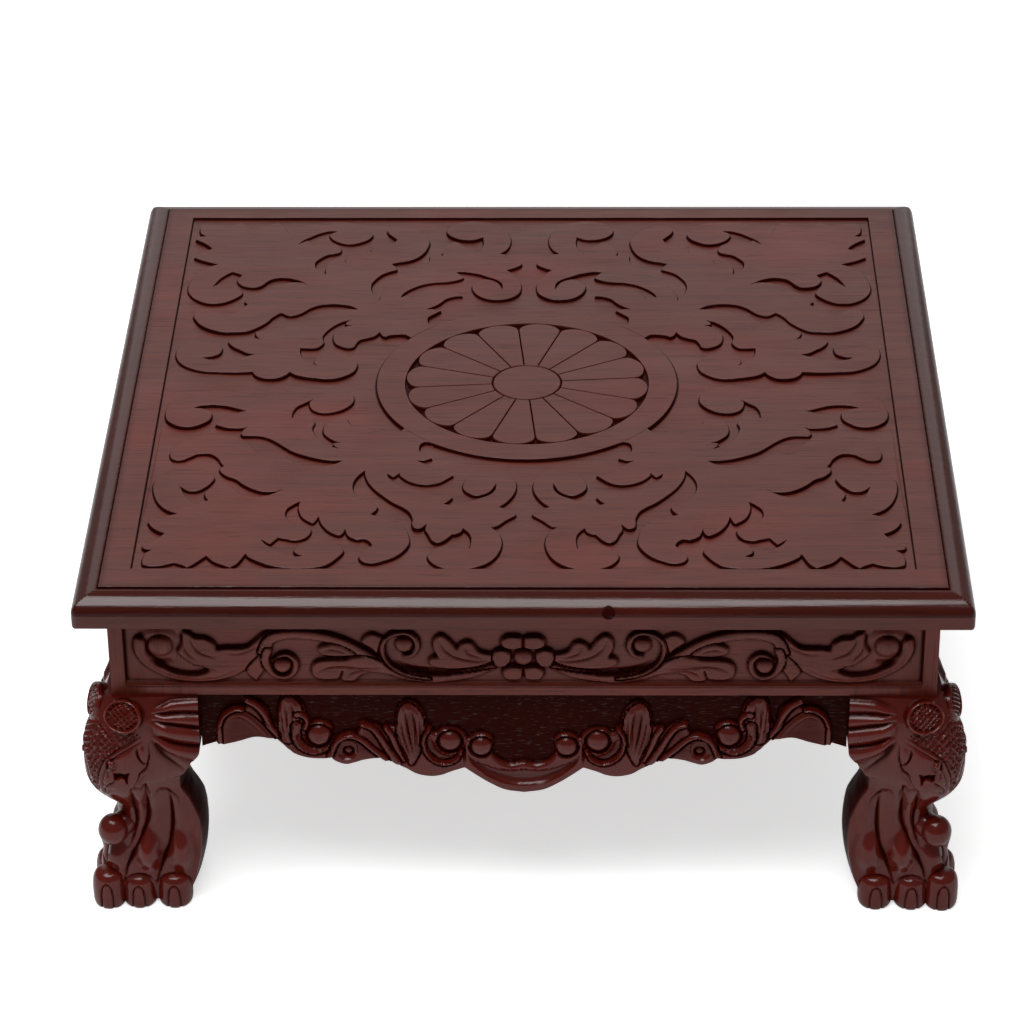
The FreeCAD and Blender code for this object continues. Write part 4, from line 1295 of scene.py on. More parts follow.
@dataclass
class Skirt(Board):
    """A scalloped board under a rail, carved with volutes and tall ribbed leaves."""

    half_length: float = 167.85
    face: float = 205.0
    thick: float = 18.0
    spacing: float = 0.6
    kind: str = "skirt"
    gloss: float = 1.0
    top: float = 132.1
    tallest: float = 64.0
    round_over: float = 1.4
    seen_rise: float = 1.2
    seen_drop: float = 1.9
    low_band: float = -114.0
    ground: float = -5.0
    rail_shade: float = 0.24
    rail_shade_run: float = 9.0
    round_drop: float = 0.8
    row_share: float = 0.8

    def lower_edge(self, across: Array) -> Array:
        """Height of the scalloped edge from the top of the table, drawn for the front."""
        line = SKIRT_LOW.line()
        return np.interp(np.abs(across), line[:, 0], line[:, 1]) - self.seen_drop

    def surface(self, across: Array, up: Array) -> tuple[Array, Array]:
        """The carving, rounded over along the scalloped edge.

        Args:
            across: distance from the middle, drawn for the front.
            up: height from the top of the table.

        Returns:
            The heights against the face, and hollowness.
        """
        across = np.abs(across)
        height = np.full(across.shape, self.ground)
        for form in SKIRT_FORMS:
            form.carve(across, up + self.seen_rise, height)
        # The sunk ground gets painted shade.
        ground = np.clip((-2.8 - height) / 1.8, 0, 1)
        # Under the rail the carving gets painted shade, darker up towards the rail.
        rail_shade = self.rail_shade * np.clip((up - self.low_band) / self.rail_shade_run, 0, 1)
        carved = 0.2 + 0.6 * hollowness(height, self.spacing) + rail_shade
        shade = np.maximum(carved, 0.5 + 0.45 * ground)
        for form in SKIRT_SCOOPS:
            form.carve(across, up + self.seen_rise, height)
        line = SKIRT_LOW.line() - (0, self.seen_drop)
        points = np.stack([across.ravel(), up.ravel()], axis=1)
        near = up.ravel() < self.lower_edge(across).ravel() + 3 * self.round_over
        away = np.full(len(points), 9.0)
        away[near], _ = nearest(points[near], line, False)
        share = np.clip(1 - away.reshape(across.shape) / self.round_over, 0, 1)
        return height - self.round_over * (1 - np.sqrt(1 - share ** 2)) * self.round_drop, shade

    def front(self) -> tuple[Array, Array]:
        """The carving on a grid whose rows run from the straight edge to the scalloped one.

        Returns:
            Its points and its hollowness.
        """
        columns = round(2 * self.half_length / self.spacing) + 1
        rows = round(self.tallest / self.spacing * self.row_share) + 1
        x = np.linspace(-self.half_length, self.half_length, columns)[None]
        share = np.linspace(0, 1, rows)[:, None]
        up = (self.top - self.level) * (1 - share) + self.lower_edge(x / self.stretch) * share
        x = np.broadcast_to(x, up.shape)
        height, shade = self.surface(x / self.stretch, up)
        return np.stack([x, -self.face - height, up + self.level], axis=2), shade


# Legs

# Carving on a face of a leg, drawn as it is seen: distance out from the post's corner, and height
# from the top of the table.
TENDONS = (
    "-7.6,-137 -8.4,-147 -6.5,-157 -4,-164",
    "-15,-124.5 -15.2,-137 -14.6,-147 -11.5,-156 -7.5,-165 -4,-173 -1,-181 0.8,-188",
    "-27.5,-137 -27.5,-147 -27,-155 -25.2,-163 -22.2,-172 -19.8,-180 -17.6,-188",
)
LEG_FORMS = (
    # Cheek of the head, the eye with its drop, and the hooked mouth.
    Swell(-6.5, -110.0, 8.0, 10.0, 1.2),
    Cut("-20.5,-97.5 -24,-104 -29,-109.5 -36,-115.5", width=3.4, depth=2.2, softness=1.2),
    Knob(2.4, -111.0, 1.8, top=1.3, root=-0.3, seat=0.8),
    Cut("-0.6,-109 2,-107.8 4.4,-109.6 4.6,-114 4.4,-118.5 2.6,-115 0,-113.8 -0.9,-111 -0.6,-109", 0.8, 0.9),
    Dish("""1,-116.8 -2.5,-116.6 -4.5,-117.2 -7,-116* -6,-119.5 -5.5,-123.5* -4.3,-120.6 -2.5,-119.8
-0.5,-120.6 1,-121.5*""", depth=2.6, edge=1.0),
    *cuts(0.9, 1.1, "1,-117 1,-121.5 4.5,-124.3 6.6,-127 5.4,-129 1.8,-127",
          "-14.5,-96 -8.5,-101 -2.5,-105 3.0,-110 6.4,-117 7.6,-124 6.0,-133"),
    Cut("-13.5,-93.5 -7.5,-98.5 -0.5,-103 5.5,-108 9.0,-115 10.3,-122 9.0,-131", 0.9, 1.3),
    Swell(-14.5, -104.0, 2.8, 5.5, 0.9),
    *cuts(0.9, 1.3, "-11.5,-100.5 -11.6,-105 -13.2,-109.3 -16.4,-111.4",
          "-17.6,-98 -18.0,-105 -16.6,-111.6 -15.5,-114 -12.5,-117 -11.3,-121 -8.8,-126.5"),
    Cut("-15.0,-117 -12.4,-121.5 -9.7,-127", 0.8, 0.8),
    # Tendons of the paw: soft grooves part them, and the knuckles swell between.
    Cut("-7.6,-126 " + TENDONS[0], width=3.2, depth=1.5, softness=2.0),
    Cut(TENDONS[1], width=4.6, depth=1.8, softness=2.0),
    Cut("-26.8,-127 " + TENDONS[2], width=4.6, depth=1.8, softness=2.0),
    Cut("-7.6,-128 " + TENDONS[0], 0.9, 0.6),
    *cuts(1.0, 0.8, TENDONS[1], "-26.8,-130 " + TENDONS[2]),
    # Brows over the toes.
    *cuts(1.3, 1.3, "0.8,-187.5 -3,-184.2 -7.75,-182.9 -12.5,-184.2 -17,-187.5",
          "-17.4,-187.5 -21.5,-184.2 -26.5,-182.9 -31.5,-184.2 -36,-187.5"),
    Cut("16,-182 10.5,-178 5.5,-180.5 1.0,-186", 1.2, 1.2),
    Swell(-13.2, -168.0, 8.5, 15.0, 5.6),
    Swell(-31.0, -167.5, 9.0, 16.0, 4.6),
    Swell(-21.0, -146.0, 6.0, 17.0, 1.0),
    Swell(-34.0, -146.0, 6.0, 15.0, 1.2),
    Swell(-11.3, -140.0, 3.4, 14.0, 0.9),
    Swell(4.0, -170.0, 8.5, 11.0, 3.0),
    # Points where the tendons start under the head and the fan.
    *cuts(1.1, 1.0, "-7,-127.8 -10,-126.6 -12.5,-127.2 -14.3,-124.8 -16,-128.5 -17,-133.5",
          "-18.8,-131.5 -21.5,-127.8 -25.0,-127.6 -28.5,-130.5 -31.5,-135 -31.6,-139"),
)
# Where the net of diamonds covers the corner of the knee.
NET_REGION = Trace("""30,-66 30,-136 9.5,-131* 11,-122 9.5,-115 5.5,-107.5 -0.5,-102.5 -7.5,-98 -13.5,-92.5*
-10,-91.5 -5,-92.5 1,-91 5.5,-86.5 6.8,-80 5,-73.5 1,-69.5*""")


@dataclass(frozen=True)
class Section:
    """A section of the leg at one level, the same on both faces.

    Distances run outwards from the faces of the post, so inside the post they are negative.

    Attributes:
        level: height above the floor.
        back: reach of the inner corner.
        ear: how far in along the face the front ends.
        proud: how far the face stands out there.
        corner: how far the rounded corner stands out on the side.
        front: how far it stands out on the front.
        radius: radius of that corner.
    """

    level: float
    back: float
    ear: float
    proud: float
    corner: float
    front: float
    radius: float


SECTIONS = [Section(*row) for row in (
    (132.1, 44.5, 44.4, 1.0, 4.0, 3.5, 8.0),
    (128.0, 44.5, 44.4, 2.0, 7.5, 6.5, 10.0),
    (120.0, 44.5, 44.4, 3.6, 11.2, 10.5, 13.0),
    (110.0, 44.5, 44.4, 4.4, 15.0, 13.2, 15.5),
    (101.0, 44.4, 43.9, 4.4, 16.9, 14.3, 17.0),
    (96.0, 42.6, 41.4, 4.0, 17.1, 14.5, 17.5),
    (90.0, 39.8, 38.4, 3.4, 17.2, 14.5, 18.0),
    (84.0, 36.0, 35.0, 2.4, 16.9, 13.8, 18.0),
    (80.0, 34.0, 32.4, 1.4, 16.2, 12.8, 17.5),
    (75.0, 33.0, 32.4, 0.6, 14.0, 10.6, 16.0),
    (70.0, 33.0, 34.3, 0.0, 10.2, 7.6, 14.0),
    (65.0, 34.0, 37.0, -0.4, 5.8, 4.2, 12.5),
    (60.0, 35.5, 39.0, -0.4, 2.6, 2.2, 12.0),
    (52.0, 38.5, 41.4, 0.0, 2.6, 2.0, 12.0),
    (44.0, 40.8, 42.0, 0.4, 5.0, 3.4, 13.0),
    (34.0, 41.8, 41.6, 0.8, 9.0, 4.8, 15.0),
    (25.0, 41.4, 40.2, 1.4, 12.2, 5.8, 17.0),
    (17.0, 40.0, 38.2, 1.8, 13.4, 6.0, 18.0),
    (8.0, 38.0, 35.0, 1.4, 13.0, 4.5, 18.0),
    (2.0, 35.5, 31.5, 0.4, 11.0, 3.0, 18.0),
)]
# Lines between the five pleats of the fan, from its bound end to its rim: heights from the top of
# the table at five even steps along the face. Then the place of each pleat's crest and its rise.
PLEAT_LINES = (
    (-77.0, -73.5, -70.5, -69.3, -68.5),
    (-80.3, -79.3, -78.8, -78.8, -79.0),
    (-84.0, -85.0, -86.0, -87.0, -88.0),
    (-92.5, -95.3, -97.5, -98.8, -99.5),
    (-97.5, -102.5, -106.5, -109.5, -112.0),
    (-100.0, -109.0, -116.0, -121.0, -126.0),
)
PLEAT_CRESTS = (0.45, 0.45, 0.38, 0.4, 0.5)
PLEAT_RISES = (2.6, 2.9, 3.4, 3.0, 0.6)
# Height up a toe and radius there, as shares of its own.
TOE_PROFILE = np.array([
    (0.0, 0.84), (0.05, 0.92), (0.12, 0.97), (0.3, 1.0), (0.5, 1.0), (0.68, 0.97), (0.8, 0.91), (0.9, 0.78),
    (0.96, 0.58), (0.99, 0.3), (1.0, 0.05),
])


def through(levels: Array, values: Array, places: Array) -> Array:
    """A smooth curve through values at uneven levels: cubic pieces with slopes that don't overshoot.

    Args:
        levels: rising levels.
        values: a value, or a row of values, at each level.
        places: where the curve is read.

    Returns:
        The values at the places.
    """
    step = np.diff(levels)[:, None]
    slope = np.diff(values, axis=0) / step
    product = slope[:-1] * slope[1:]
    total = np.where(np.abs(slope[:-1] + slope[1:]) < 1e-9, 1, slope[:-1] + slope[1:])
    inner = np.where(product > 0, 2 * product / total, 0)
    tangent = np.concatenate([slope[:1], inner, slope[-1:]])
    index = np.clip(np.searchsorted(levels, places) - 1, 0, len(step) - 1)
    width = step[index]
    t = (places[:, None] - levels[index][:, None]) / width
    start, end = values[index], values[index + 1]
    return (
        start * (1 + 2 * t) * (1 - t) ** 2 + tangent[index] * width * t * (1 - t) ** 2
        + end * t ** 2 * (3 - 2 * t) + tangent[index + 1] * width * t ** 2 * (t - 1)
    )


@dataclass(frozen=True)
class Toe:
    """One toe of a paw: a domed column with a nail cut as a tall U on its outer side.

    Attributes:
        out_x: its middle, outwards from the side face.
        out_y: its middle, outwards from the front face.
        size: its radius.
        tall: its height.
        heading: the way that the nail faces, in degrees from the first axis.
        nail: half the nail's width. Its arch springs at a share of the toe's height.
        groove: half width and depth of the groove round the nail.
    """

    out_x: float
    out_y: float
    size: float
    tall: float
    heading: float
    nail: float = 3.3
    spring: float = 0.37
    groove: float = 0.9

    def build(self) -> Shell:
        """Builds the toe in the leg's own frame.

        Returns:
            The shell.
        """
        dome = 0.75 * self.tall
        z = np.concatenate([np.linspace(0, dome, 38), np.linspace(dome, self.tall, 22)[1:]])
        radius = through(TOE_PROFILE[:, 0] * self.tall, TOE_PROFILE[:, 1:] * self.size, z)
        angle = np.linspace(-math.pi, math.pi, 80, endpoint=False)[None]
        off = radius * angle
        level = np.broadcast_to(z[:, None], off.shape)
        arch = self.spring * self.tall
        half_width = self.nail * np.sqrt(np.clip(1 - (np.clip(level - arch, 0, None) / arch) ** 2, 0, 1))
        edge = np.abs(off) - half_width
        groove = np.clip(1 - np.abs(edge) / self.groove, 0, 1) * (level < 2 * arch + 0.5)
        across = radius - self.groove * groove
        turn = angle + math.radians(self.heading)
        rings = np.stack([across * np.cos(turn), across * np.sin(turn), level], axis=2)
        return tube(rings, 0.5 + 0.5 * groove).moved((self.out_x, self.out_y, 0))


@dataclass(frozen=True)
class Medallion:
    """The round medallion on the knee: a rim, a groove and a cushion cut in a lattice.

    Attributes:
        cushion: how far out the lattice reaches.
        bar: half width of the slope of the lattice's bars.
        profile: distance from the middle, and height there.
    """

    wide: float = 10.4
    tall: float = 9.2
    cushion: float = 7.9
    pitch: float = 3.4
    bar: float = 0.6
    cut: float = 0.9
    back: float = 7.0
    steps: int = 61
    spacing: float = 0.35
    tilt: float = math.radians(-20.0)
    turn: float = math.radians(14.0)
    place: tuple[float, float, float] = (-6.0, 10.4, 125.2)
    profile: tuple = (
        (0, 1.4), (6, 0.9), (7.6, 0.1), (8.3, -0.5), (8.8, 0.5), (9.3, 0.9), (9.9, 0.5), (10.4, -1.4),
    )

    def build(self) -> Shell:
        """Builds the medallion from a square grid that is mapped to a disc, so its edge is the rim.

        Returns:
            The shell, on the front face in the leg's own frame.
        """
        u, v = np.meshgrid(np.linspace(-1, 1, self.steps), np.linspace(1, -1, self.steps))
        x = u * np.sqrt(1 - v ** 2 / 2)
        z = v * np.sqrt(1 - u ** 2 / 2)
        radius = np.hypot(x, z) * self.wide
        lattice = np.zeros(x.shape)
        for sign in (-1, 1):
            share = ((x * self.wide + sign * z * self.wide) / self.pitch) % 1.0
            bars = np.clip(1.5 - np.abs(share - 0.5) * self.pitch / self.bar, 0, 1)
            lattice = np.maximum(lattice, bars)
        height = np.interp(radius, *np.array(self.profile).T)
        height = height - self.cut * (1 - lattice) * (radius < self.cushion)
        grid = np.stack([x * self.wide, -height, z * self.tall], axis=2)
        shell = panel_shell(grid, hollowness(height, self.spacing), self.back)
        tilt = Matrix.Rotation(self.tilt, 3, "X")
        turn = Matrix.Rotation(self.turn, 3, "Z")
        # The panel faces -Y, and in the leg's own frame the front is +Y.
        mirror = np.diag([1.0, -1.0, 1.0])
        return shell.turned(mirror @ np.array(turn @ tilt), flip=True).moved(self.place)


@dataclass
class Leg:
    """One paw leg: frieze block, knee with medallion, head and fan, tendons, ball and toes.

    It is built in a frame with the post's outer corner at the origin, where the first two
    coordinates run outwards from the side face and from the front face.

    Attributes:
        view_slope: how far up the carving is drawn for each step that a face stands out.
        seen_shift: how far along, for the same.
        corner_limit: how far out the leg may reach.
        deepest: how far the carving may sink.
        net_cord: half width of a cord's slope.
        balls: middle and radius of the ball at the heel, and of its root.
        ball_pole: half angle of a ball's small flat poles.
    """

    place: Corner
    corner_x: float = 212.5
    corner_y: float = 206.0
    post: float = 44.5
    level: float = 200.0
    rail_low: float = 132.1
    rail_high: float = 182.6
    view_slope: float = 0.615
    seen_shift: float = 0.09
    face_steps: int = 62
    corner_steps: int = 26
    inner_steps: int = 10
    spacing: float = 0.58
    block_spacing: float = 0.62
    block_steps: int = 73
    corner_limit: float = 17.35
    deepest: float = -3.4
    net_pitch: float = 4.0
    net_cord: float = 0.55
    fan_start: float = -20.0
    fan_end: float = -42.5
    inner_shade: float = 0.95
    balls: tuple = (((3.7, 3.4, 48.8), 8.0), ((-1.5, -1.5, 49.4), 6.6))
    ball_stretch: float = 1.1
    ball_pole: float = 0.06
    toes: tuple[Toe, ...] = (
        Toe(8.2, 0.8, 9.0, 22.0, 85.0), Toe(-7.8, -0.2, 9.3, 19.8, 90.0), Toe(-26.6, -0.4, 9.3, 19.8, 90.0),
        Toe(7.6, -17.5, 9.4, 20.5, 0.0), Toe(5.0, -35.6, 9.0, 20.0, 0.0),
    )

    def fan(self, across: Array, up: Array) -> Array:
        """Height of the pleated fan: rounded pleats between lines that spread towards the rim.

        Args:
            across: distance out from the post's corner.
            up: height from the top of the table.

        Returns:
            The rise.
        """
        run = (across - self.fan_start) / (self.fan_end - self.fan_start)
        steps = np.linspace(0, 1, 5)
        places = np.clip(run.ravel(), 0, 1)
        table = through(steps, np.array(PLEAT_LINES).T, places).T.reshape(-1, *across.shape)
        rise = np.zeros(across.shape)
        for above, below, crest, top in zip(table, table[1:], PLEAT_CRESTS, PLEAT_RISES):
            share = np.clip((above - up) / (above - below), 0, 1)
            bent = share ** (math.log(0.5) / math.log(crest))
            rise = np.maximum(rise, top * np.sin(bent * math.pi))
        return rise * np.clip(run / 0.3, 0, 1) ** 0.7

    def net(self, around: Array, across: Array, up: Array) -> Array:
        """Depth of the net of diamonds that covers the corner of the knee.

        Args:
            around: distance round the corner from the diagonal.
            across: distance out from the post's corner.
            up: height from the top of the table.

        Returns:
            The depth, zero or negative.
        """
        points = np.stack([across.ravel(), up.ravel()], axis=1)
        within = inside(points, NET_REGION.line()).reshape(across.shape)
        cord = np.zeros(across.shape)
        for slope in (-0.75, 1.0):
            share = ((around + slope * up) / self.net_pitch) % 1.0
            slope_of_cord = 1.6 - np.abs(share - 0.5) * self.net_pitch / self.net_cord
            cord = np.maximum(cord, np.clip(slope_of_cord, 0, 1))
        return np.where(within, cord - 0.5, 0)

    def face(self, z: Array, ear: Array, proud: Array, side: Array, front: Array, radius: Array) -> tuple:
        """Half a section at every level, from the ear to the diagonal, with its carving.

        Args:
            z: the levels.
            ear: how far in along the face its end lies.
            proud: how far the face stands out there.
            side: how far the rounded corner reaches along the face.
            front: how far it reaches out of the face.
            radius: the radius of that corner.

        Returns:
            Distance along the face, distance out of it, and hollowness.
        """
        start = math.pi / 2 + np.arctan2(front - proud, side - radius + ear)
        t = np.linspace(0, 1, self.face_steps, endpoint=False)[None]
        spring_x = side - radius + radius * np.cos(start)
        spring_y = front - radius + radius * np.sin(start)
        face_x = -ear + (spring_x + ear) * t
        face_y = proud + (spring_y - proud) * t
        turn = np.linspace(0, 1, self.corner_steps)[None]
        angle = start + (math.pi / 4 - start) * turn
        x = np.concatenate([face_x, side - radius + radius * np.cos(angle)], axis=1)
        y = np.concatenate([face_y, front - radius + radius * np.sin(angle)], axis=1)
        normal_x = np.concatenate([np.broadcast_to(np.cos(start), face_x.shape), np.cos(angle)], axis=1)
        normal_y = np.concatenate([np.broadcast_to(np.sin(start), face_x.shape), np.sin(angle)], axis=1)
        step = np.hypot(np.diff(x, axis=1), np.diff(y, axis=1))
        last = np.zeros((len(z), 1))
        around = np.concatenate([np.cumsum(step[:, ::-1], axis=1)[:, ::-1], last], axis=1)
        level = np.broadcast_to(z[:, None], x.shape)
        # The carving is drawn as the camera sees it, so it is looked up along the line of sight.
        seen_x = x + self.seen_shift * y
        seen_z = level - self.level - self.view_slope * y
        rise = np.zeros(x.shape)
        for form in LEG_FORMS:
            form.carve(seen_x, seen_z, rise)
        rise = rise + self.net(around, seen_x, seen_z) + self.fan(seen_x, seen_z)
        fade = np.clip((self.rail_low - 0.3 - level) / 2.0, 0, 1)
        rise = np.maximum(rise, self.deepest) * fade
        return x + normal_x * rise, y + normal_y * rise, hollowness(rise, self.spacing)

    def body(self) -> Shell:
        """The knee and the shank: rounded sections, smooth from level to level, with the carving.

        Returns:
            The shell.
        """
        table = np.array([astuple(section) for section in SECTIONS])[::-1]
        count = round((table[-1, 0] - table[0, 0]) / self.spacing) + 1
        z = np.linspace(table[0, 0], table[-1, 0], count)
        read = through(table[:, 0], table[:, 1:], z)[:, :, None].transpose(1, 0, 2)
        back, ear, proud, corner, front, radius = read
        halves = []
        for side, out in ((corner, front), (front, corner)):
            x, y, hollow = self.face(z, ear, proud, side, out, radius)
            # The inner face runs in a shallow hollow from the ear to the inner corner.
            inward = np.linspace(0, 1, self.inner_steps + 1)[None, 1:-1]
            dip = 2.0 * np.sin(inward * math.pi) * np.clip((100 - z[:, None]) / 20, 0, 1)
            side_x = -back * (1 - inward) + x[:, :1] * inward - dip
            side_y = -back * (1 - inward) + y[:, :1] * inward
            shade = np.concatenate([np.full(side_x.shape, self.inner_shade), hollow], axis=1)
            half = (np.concatenate([side_x, x], axis=1), np.concatenate([side_y, y], axis=1), shade)
            halves.append(half)
        (half_x, half_y, shade), (side_y, side_x, side_shade) = halves
        ring_x = np.concatenate([-back, half_x, side_x[:, -2::-1]], axis=1)
        ring_y = np.concatenate([-back, half_y, side_y[:, -2::-1]], axis=1)
        middle = np.full(back.shape, self.inner_shade)
        ring_shade = np.concatenate([middle, shade, side_shade[:, -2::-1]], axis=1)
        level = np.broadcast_to(z[:, None], ring_x.shape)
        rings = np.stack([*np.minimum((ring_x, ring_y), self.corner_limit), level], axis=2)
        return tube(rings[:, ::-1], ring_shade[:, ::-1])

    def block(self) -> Shell:
        """The post beside the rails, with the ends of both friezes on its faces.

        Returns:
            The shell.
        """
        count = round((self.rail_high - self.rail_low) / self.block_spacing) + 1
        z = np.linspace(self.rail_low, self.rail_high, count)[:, None]
        x = np.broadcast_to(np.linspace(-self.post, 0, self.block_steps), (count, self.block_steps))
        seen = np.broadcast_to(z - self.level, x.shape)
        front, shade_front = Frieze().surface(x + self.corner_x, seen)
        side, shade_side = Frieze().surface((x + self.corner_y) * self.corner_x / self.corner_y, seen)
        back = np.full((count, 1), -self.post)
        ring_x = np.concatenate([back, x, side[:, -2::-1]], axis=1)
        ring_y = np.concatenate([back, front, x[:, -2::-1]], axis=1)
        flat = np.full((count, 1), 0.5)
        shade = np.concatenate([flat, shade_front, shade_side[:, -2::-1]], axis=1)
        rings = np.stack([ring_x, ring_y, np.broadcast_to(z, ring_x.shape)], axis=2)
        return tube(rings[:, ::-1], shade[:, ::-1])

    def ball(self, middle: tuple[float, float, float], radius: float) -> Shell:
        """The ball at the heel of the corner, or its root: a sphere between two small flat poles.

        Args:
            middle: its middle.
            radius: its radius.

        Returns:
            The shell.
        """
        high = math.pi / 2 - self.ball_pole
        polar = np.linspace(-high, high, 33)[:, None]
        angle = np.linspace(0, math.tau, 56, endpoint=False)[None]
        ring = radius * np.cos(polar)
        rise = np.broadcast_to(radius * self.ball_stretch * np.sin(polar), (33, 56))
        return tube(np.stack([ring * np.cos(angle), ring * np.sin(angle), rise], axis=2)).moved(middle)

    def build(self, finish: bpy.types.Material) -> None:
        """Builds the leg in its corner.

        Args:
            finish: its material.
        """
        swap = np.array([[0, 1, 0], [1, 0, 0], [0, 0, 1]], float)
        medallion = Medallion().build()
        carved = [self.body(), medallion, medallion.turned(swap, flip=True)]
        carved += [self.ball(middle, radius) for middle, radius in self.balls]
        carved += [toe.build() for toe in self.toes]
        shells = [self.block()] + [shell.polished(1.0) for shell in carved]
        sign_x, sign_y = self.place.value
        matrix = np.diag([float(sign_x), float(sign_y), 1.0])
        offset_to = (sign_x * self.corner_x, sign_y * self.corner_y, 0)
        placed = [shell.turned(matrix, flip=sign_x * sign_y < 0).moved(offset_to) for shell in shells]
        name = self.place.name.lower()
        finish_piece(build_mesh("paw_leg_" + name, placed), finish, Slot.CARVED, "leg_" + name)


# Materials

class Nodes:
    """The node tree of a material or of the world, with one helper that adds a node of any kind."""

    def __init__(self, owner: bpy.types.Material | bpy.types.World) -> None:
        """Empties the owner's node tree.

        Args:
            owner: what the nodes belong to.
        """
        owner.use_nodes = True
        self.tree = owner.node_tree
        self.tree.nodes.clear()

    def add(
        self, kind: str, inputs: dict | tuple = (), output: int | str = 0, stops: tuple = (),
        **settings: object,
    ) -> bpy.types.NodeSocket | None:
        """Adds a node, sets its properties and fills its sockets.

        Args:
            kind: the node's type without its ShaderNode prefix.
            inputs: a value or another node's output for a socket's name or number, or a tuple of
                them for the first sockets.
            output: which of its outputs is wanted.
            stops: a place and a hex colour for each end of a colour ramp.
            settings: properties of the node.

        Returns:
            That output, where the node has any.
        """
        node = self.tree.nodes.new("ShaderNode" + kind)
        for name, value in settings.items():
            setattr(node, name, value)
        for element, (place, colour) in zip(node.color_ramp.elements if stops else (), stops):
            element.position = place
            element.color = linear(colour)
        for name, value in (inputs if isinstance(inputs, dict) else dict(enumerate(inputs))).items():
            socket = node.inputs[name]
            if isinstance(value, bpy.types.NodeSocket):
                self.tree.links.new(value, socket)
            else:
                socket.default_value = value
        return node.outputs[output] if len(node.outputs) else None

    def patterns(self, *rows: tuple[Iterable[float], float]) -> list[bpy.types.NodeSocket]:
        """Fractal noise on the object's own coordinates, drawn out along an axis.

        Args:
            rows: for each pattern, its scale per metre along each axis and its octaves.

        Returns:
            A value for each pattern.
        """
        place = self.add("TexCoord", output="Object")
        return [
            self.add("TexNoise", {
                "Vector": self.add("Mapping", {"Vector": place, "Scale": tuple(scale)}),
                "Scale": 1.0, "Detail": octaves, "Roughness": 0.55,
            }) for scale, octaves in rows
        ]


@dataclass(frozen=True)
class Lacquer:
    """Rosewood under dark lacquer: satin flats, glossy carving, rubbed crests and hollows darkened by painted
    shade.

    Attributes:
        deep: open pores, and the painted shade of hollows.
        worn: rubbed crests, and clouds of a redder stain.
        stain: what the gloss lies over.
        satin: roughness of the flats.
        polish: roughness of the glossy carving.
        grain: scale of the grain along each axis, small along the wood.
        bump: relief of the sanded grain.
        tooled: how much more of it the tool marks of sunk ground have.
        dull: specular level that hollows lose.
        fleck: specular level that glints give them back.
    """

    name: str
    body: str
    streak: str
    deep: str
    worn: str
    stain: str
    satin: float
    polish: float
    grain: tuple[float, float, float]
    bump: float = 0.2
    tooled: float = 0.4
    dull: float = 0.44
    fleck: float = 0.45

    def build(self) -> bpy.types.Material:
        """Builds the material.

        Returns:
            The material.
        """
        material = bpy.data.materials.new(self.name)
        nodes = Nodes(material)
        add = nodes.add
        hollow, gloss = (
            add("Attribute", output="Fac", attribute_name=name) for name in ("hollow", "gloss")
        )
        # Streaks of the grain a few millimetres wide, slow clouds of stain, open pores as dashes half
        # a millimetre wide, patches dulled by handling, and glints two millimetres long.
        streaks, clouds, pores, patches, flecks = nodes.patterns(
            (self.grain, 6.0), ((9.0, 14.0, 14.0), 3.0), ((6.0 * part for part in self.grain), 3.0),
            ((22.0, 30.0, 30.0), 4.0), ((40.0 * part ** 0.72 for part in self.grain), 2.0),
        )
        # Each value goes from nothing at its first number to all at its second.
        red, dash, sunk, crest, handled, spark = (
            add("MapRange", row) for row in (
                (clouds, 0.5, 0.72), (pores, 0.56, 0.66), (hollow, 0.52, 0.85), (hollow, 0.42, 0.1),
                (patches, 0.3, 0.7), (flecks, 0.6, 0.72),
            )
        )
        rub = add("Math", (gloss, -0.35, 0.8), operation="MULTIPLY_ADD")
        rubbed = add("Math", (crest, rub), operation="MULTIPLY")
        glossy = add("Math", (gloss, sunk), operation="SUBTRACT")
        # The wood with its clouds and pores, then crests rubbed to a warmer red, hollows darkened by
        # painted shade, and the deeper stain under the gloss.
        tone = add("ValToRGB", (streaks,), stops=((0.34, self.body), (0.7, self.streak)))
        for share, strength, colour in (
            (red, 0.4, self.worn), (dash, 0.45, self.deep), (rubbed, 1.0, self.worn),
            (sunk, 0.9, self.deep), (glossy, 0.7, self.stain),
        ):
            factor = add("Math", (share, strength), operation="MULTIPLY")
            tone = add("Mix", {0: factor, 6: tone, 7: linear(colour)}, 2, data_type="RGBA")
        # Flats and gloss both vary in roughness from patch to patch, and pores are rougher.
        flat = add("Math", (handled, 0.12, self.satin - 0.06), operation="MULTIPLY_ADD")
        shiny = add("Math", (handled, 0.08, self.polish - 0.03), operation="MULTIPLY_ADD")
        rough = add("Mix", {0: gloss, 2: flat, 3: shiny})
        rough = add("Math", (dash, 0.1, rough), operation="MULTIPLY_ADD")
        # Sunk ground keeps the tool marks along the grain, and the rest is sanded.
        pits = add("Math", (pores, -0.4), operation="MULTIPLY")
        height = add("Math", (streaks, 0.6, pits), operation="MULTIPLY_ADD")
        strength = add("Math", (sunk, self.tooled, self.bump), operation="MULTIPLY_ADD")
        normal = add("Bump", {"Strength": strength, "Distance": 0.0008, "Height": height})
        # Hollows lose specular level too, as painted shade of their reflections, but keep their glints.
        glint = add("Math", (sunk, spark), operation="MULTIPLY")
        shine = add("Math", (sunk, -self.dull, 0.47), operation="MULTIPLY_ADD")
        shine = add("Math", (glint, self.fleck, shine), operation="MULTIPLY_ADD")
        surface = add("BsdfPrincipled", {
            "Base Color": tone, "Roughness": rough, "IOR": 1.4, "Normal": normal, "Specular IOR Level": shine,
        })
        add("OutputMaterial", (surface,))
        return material


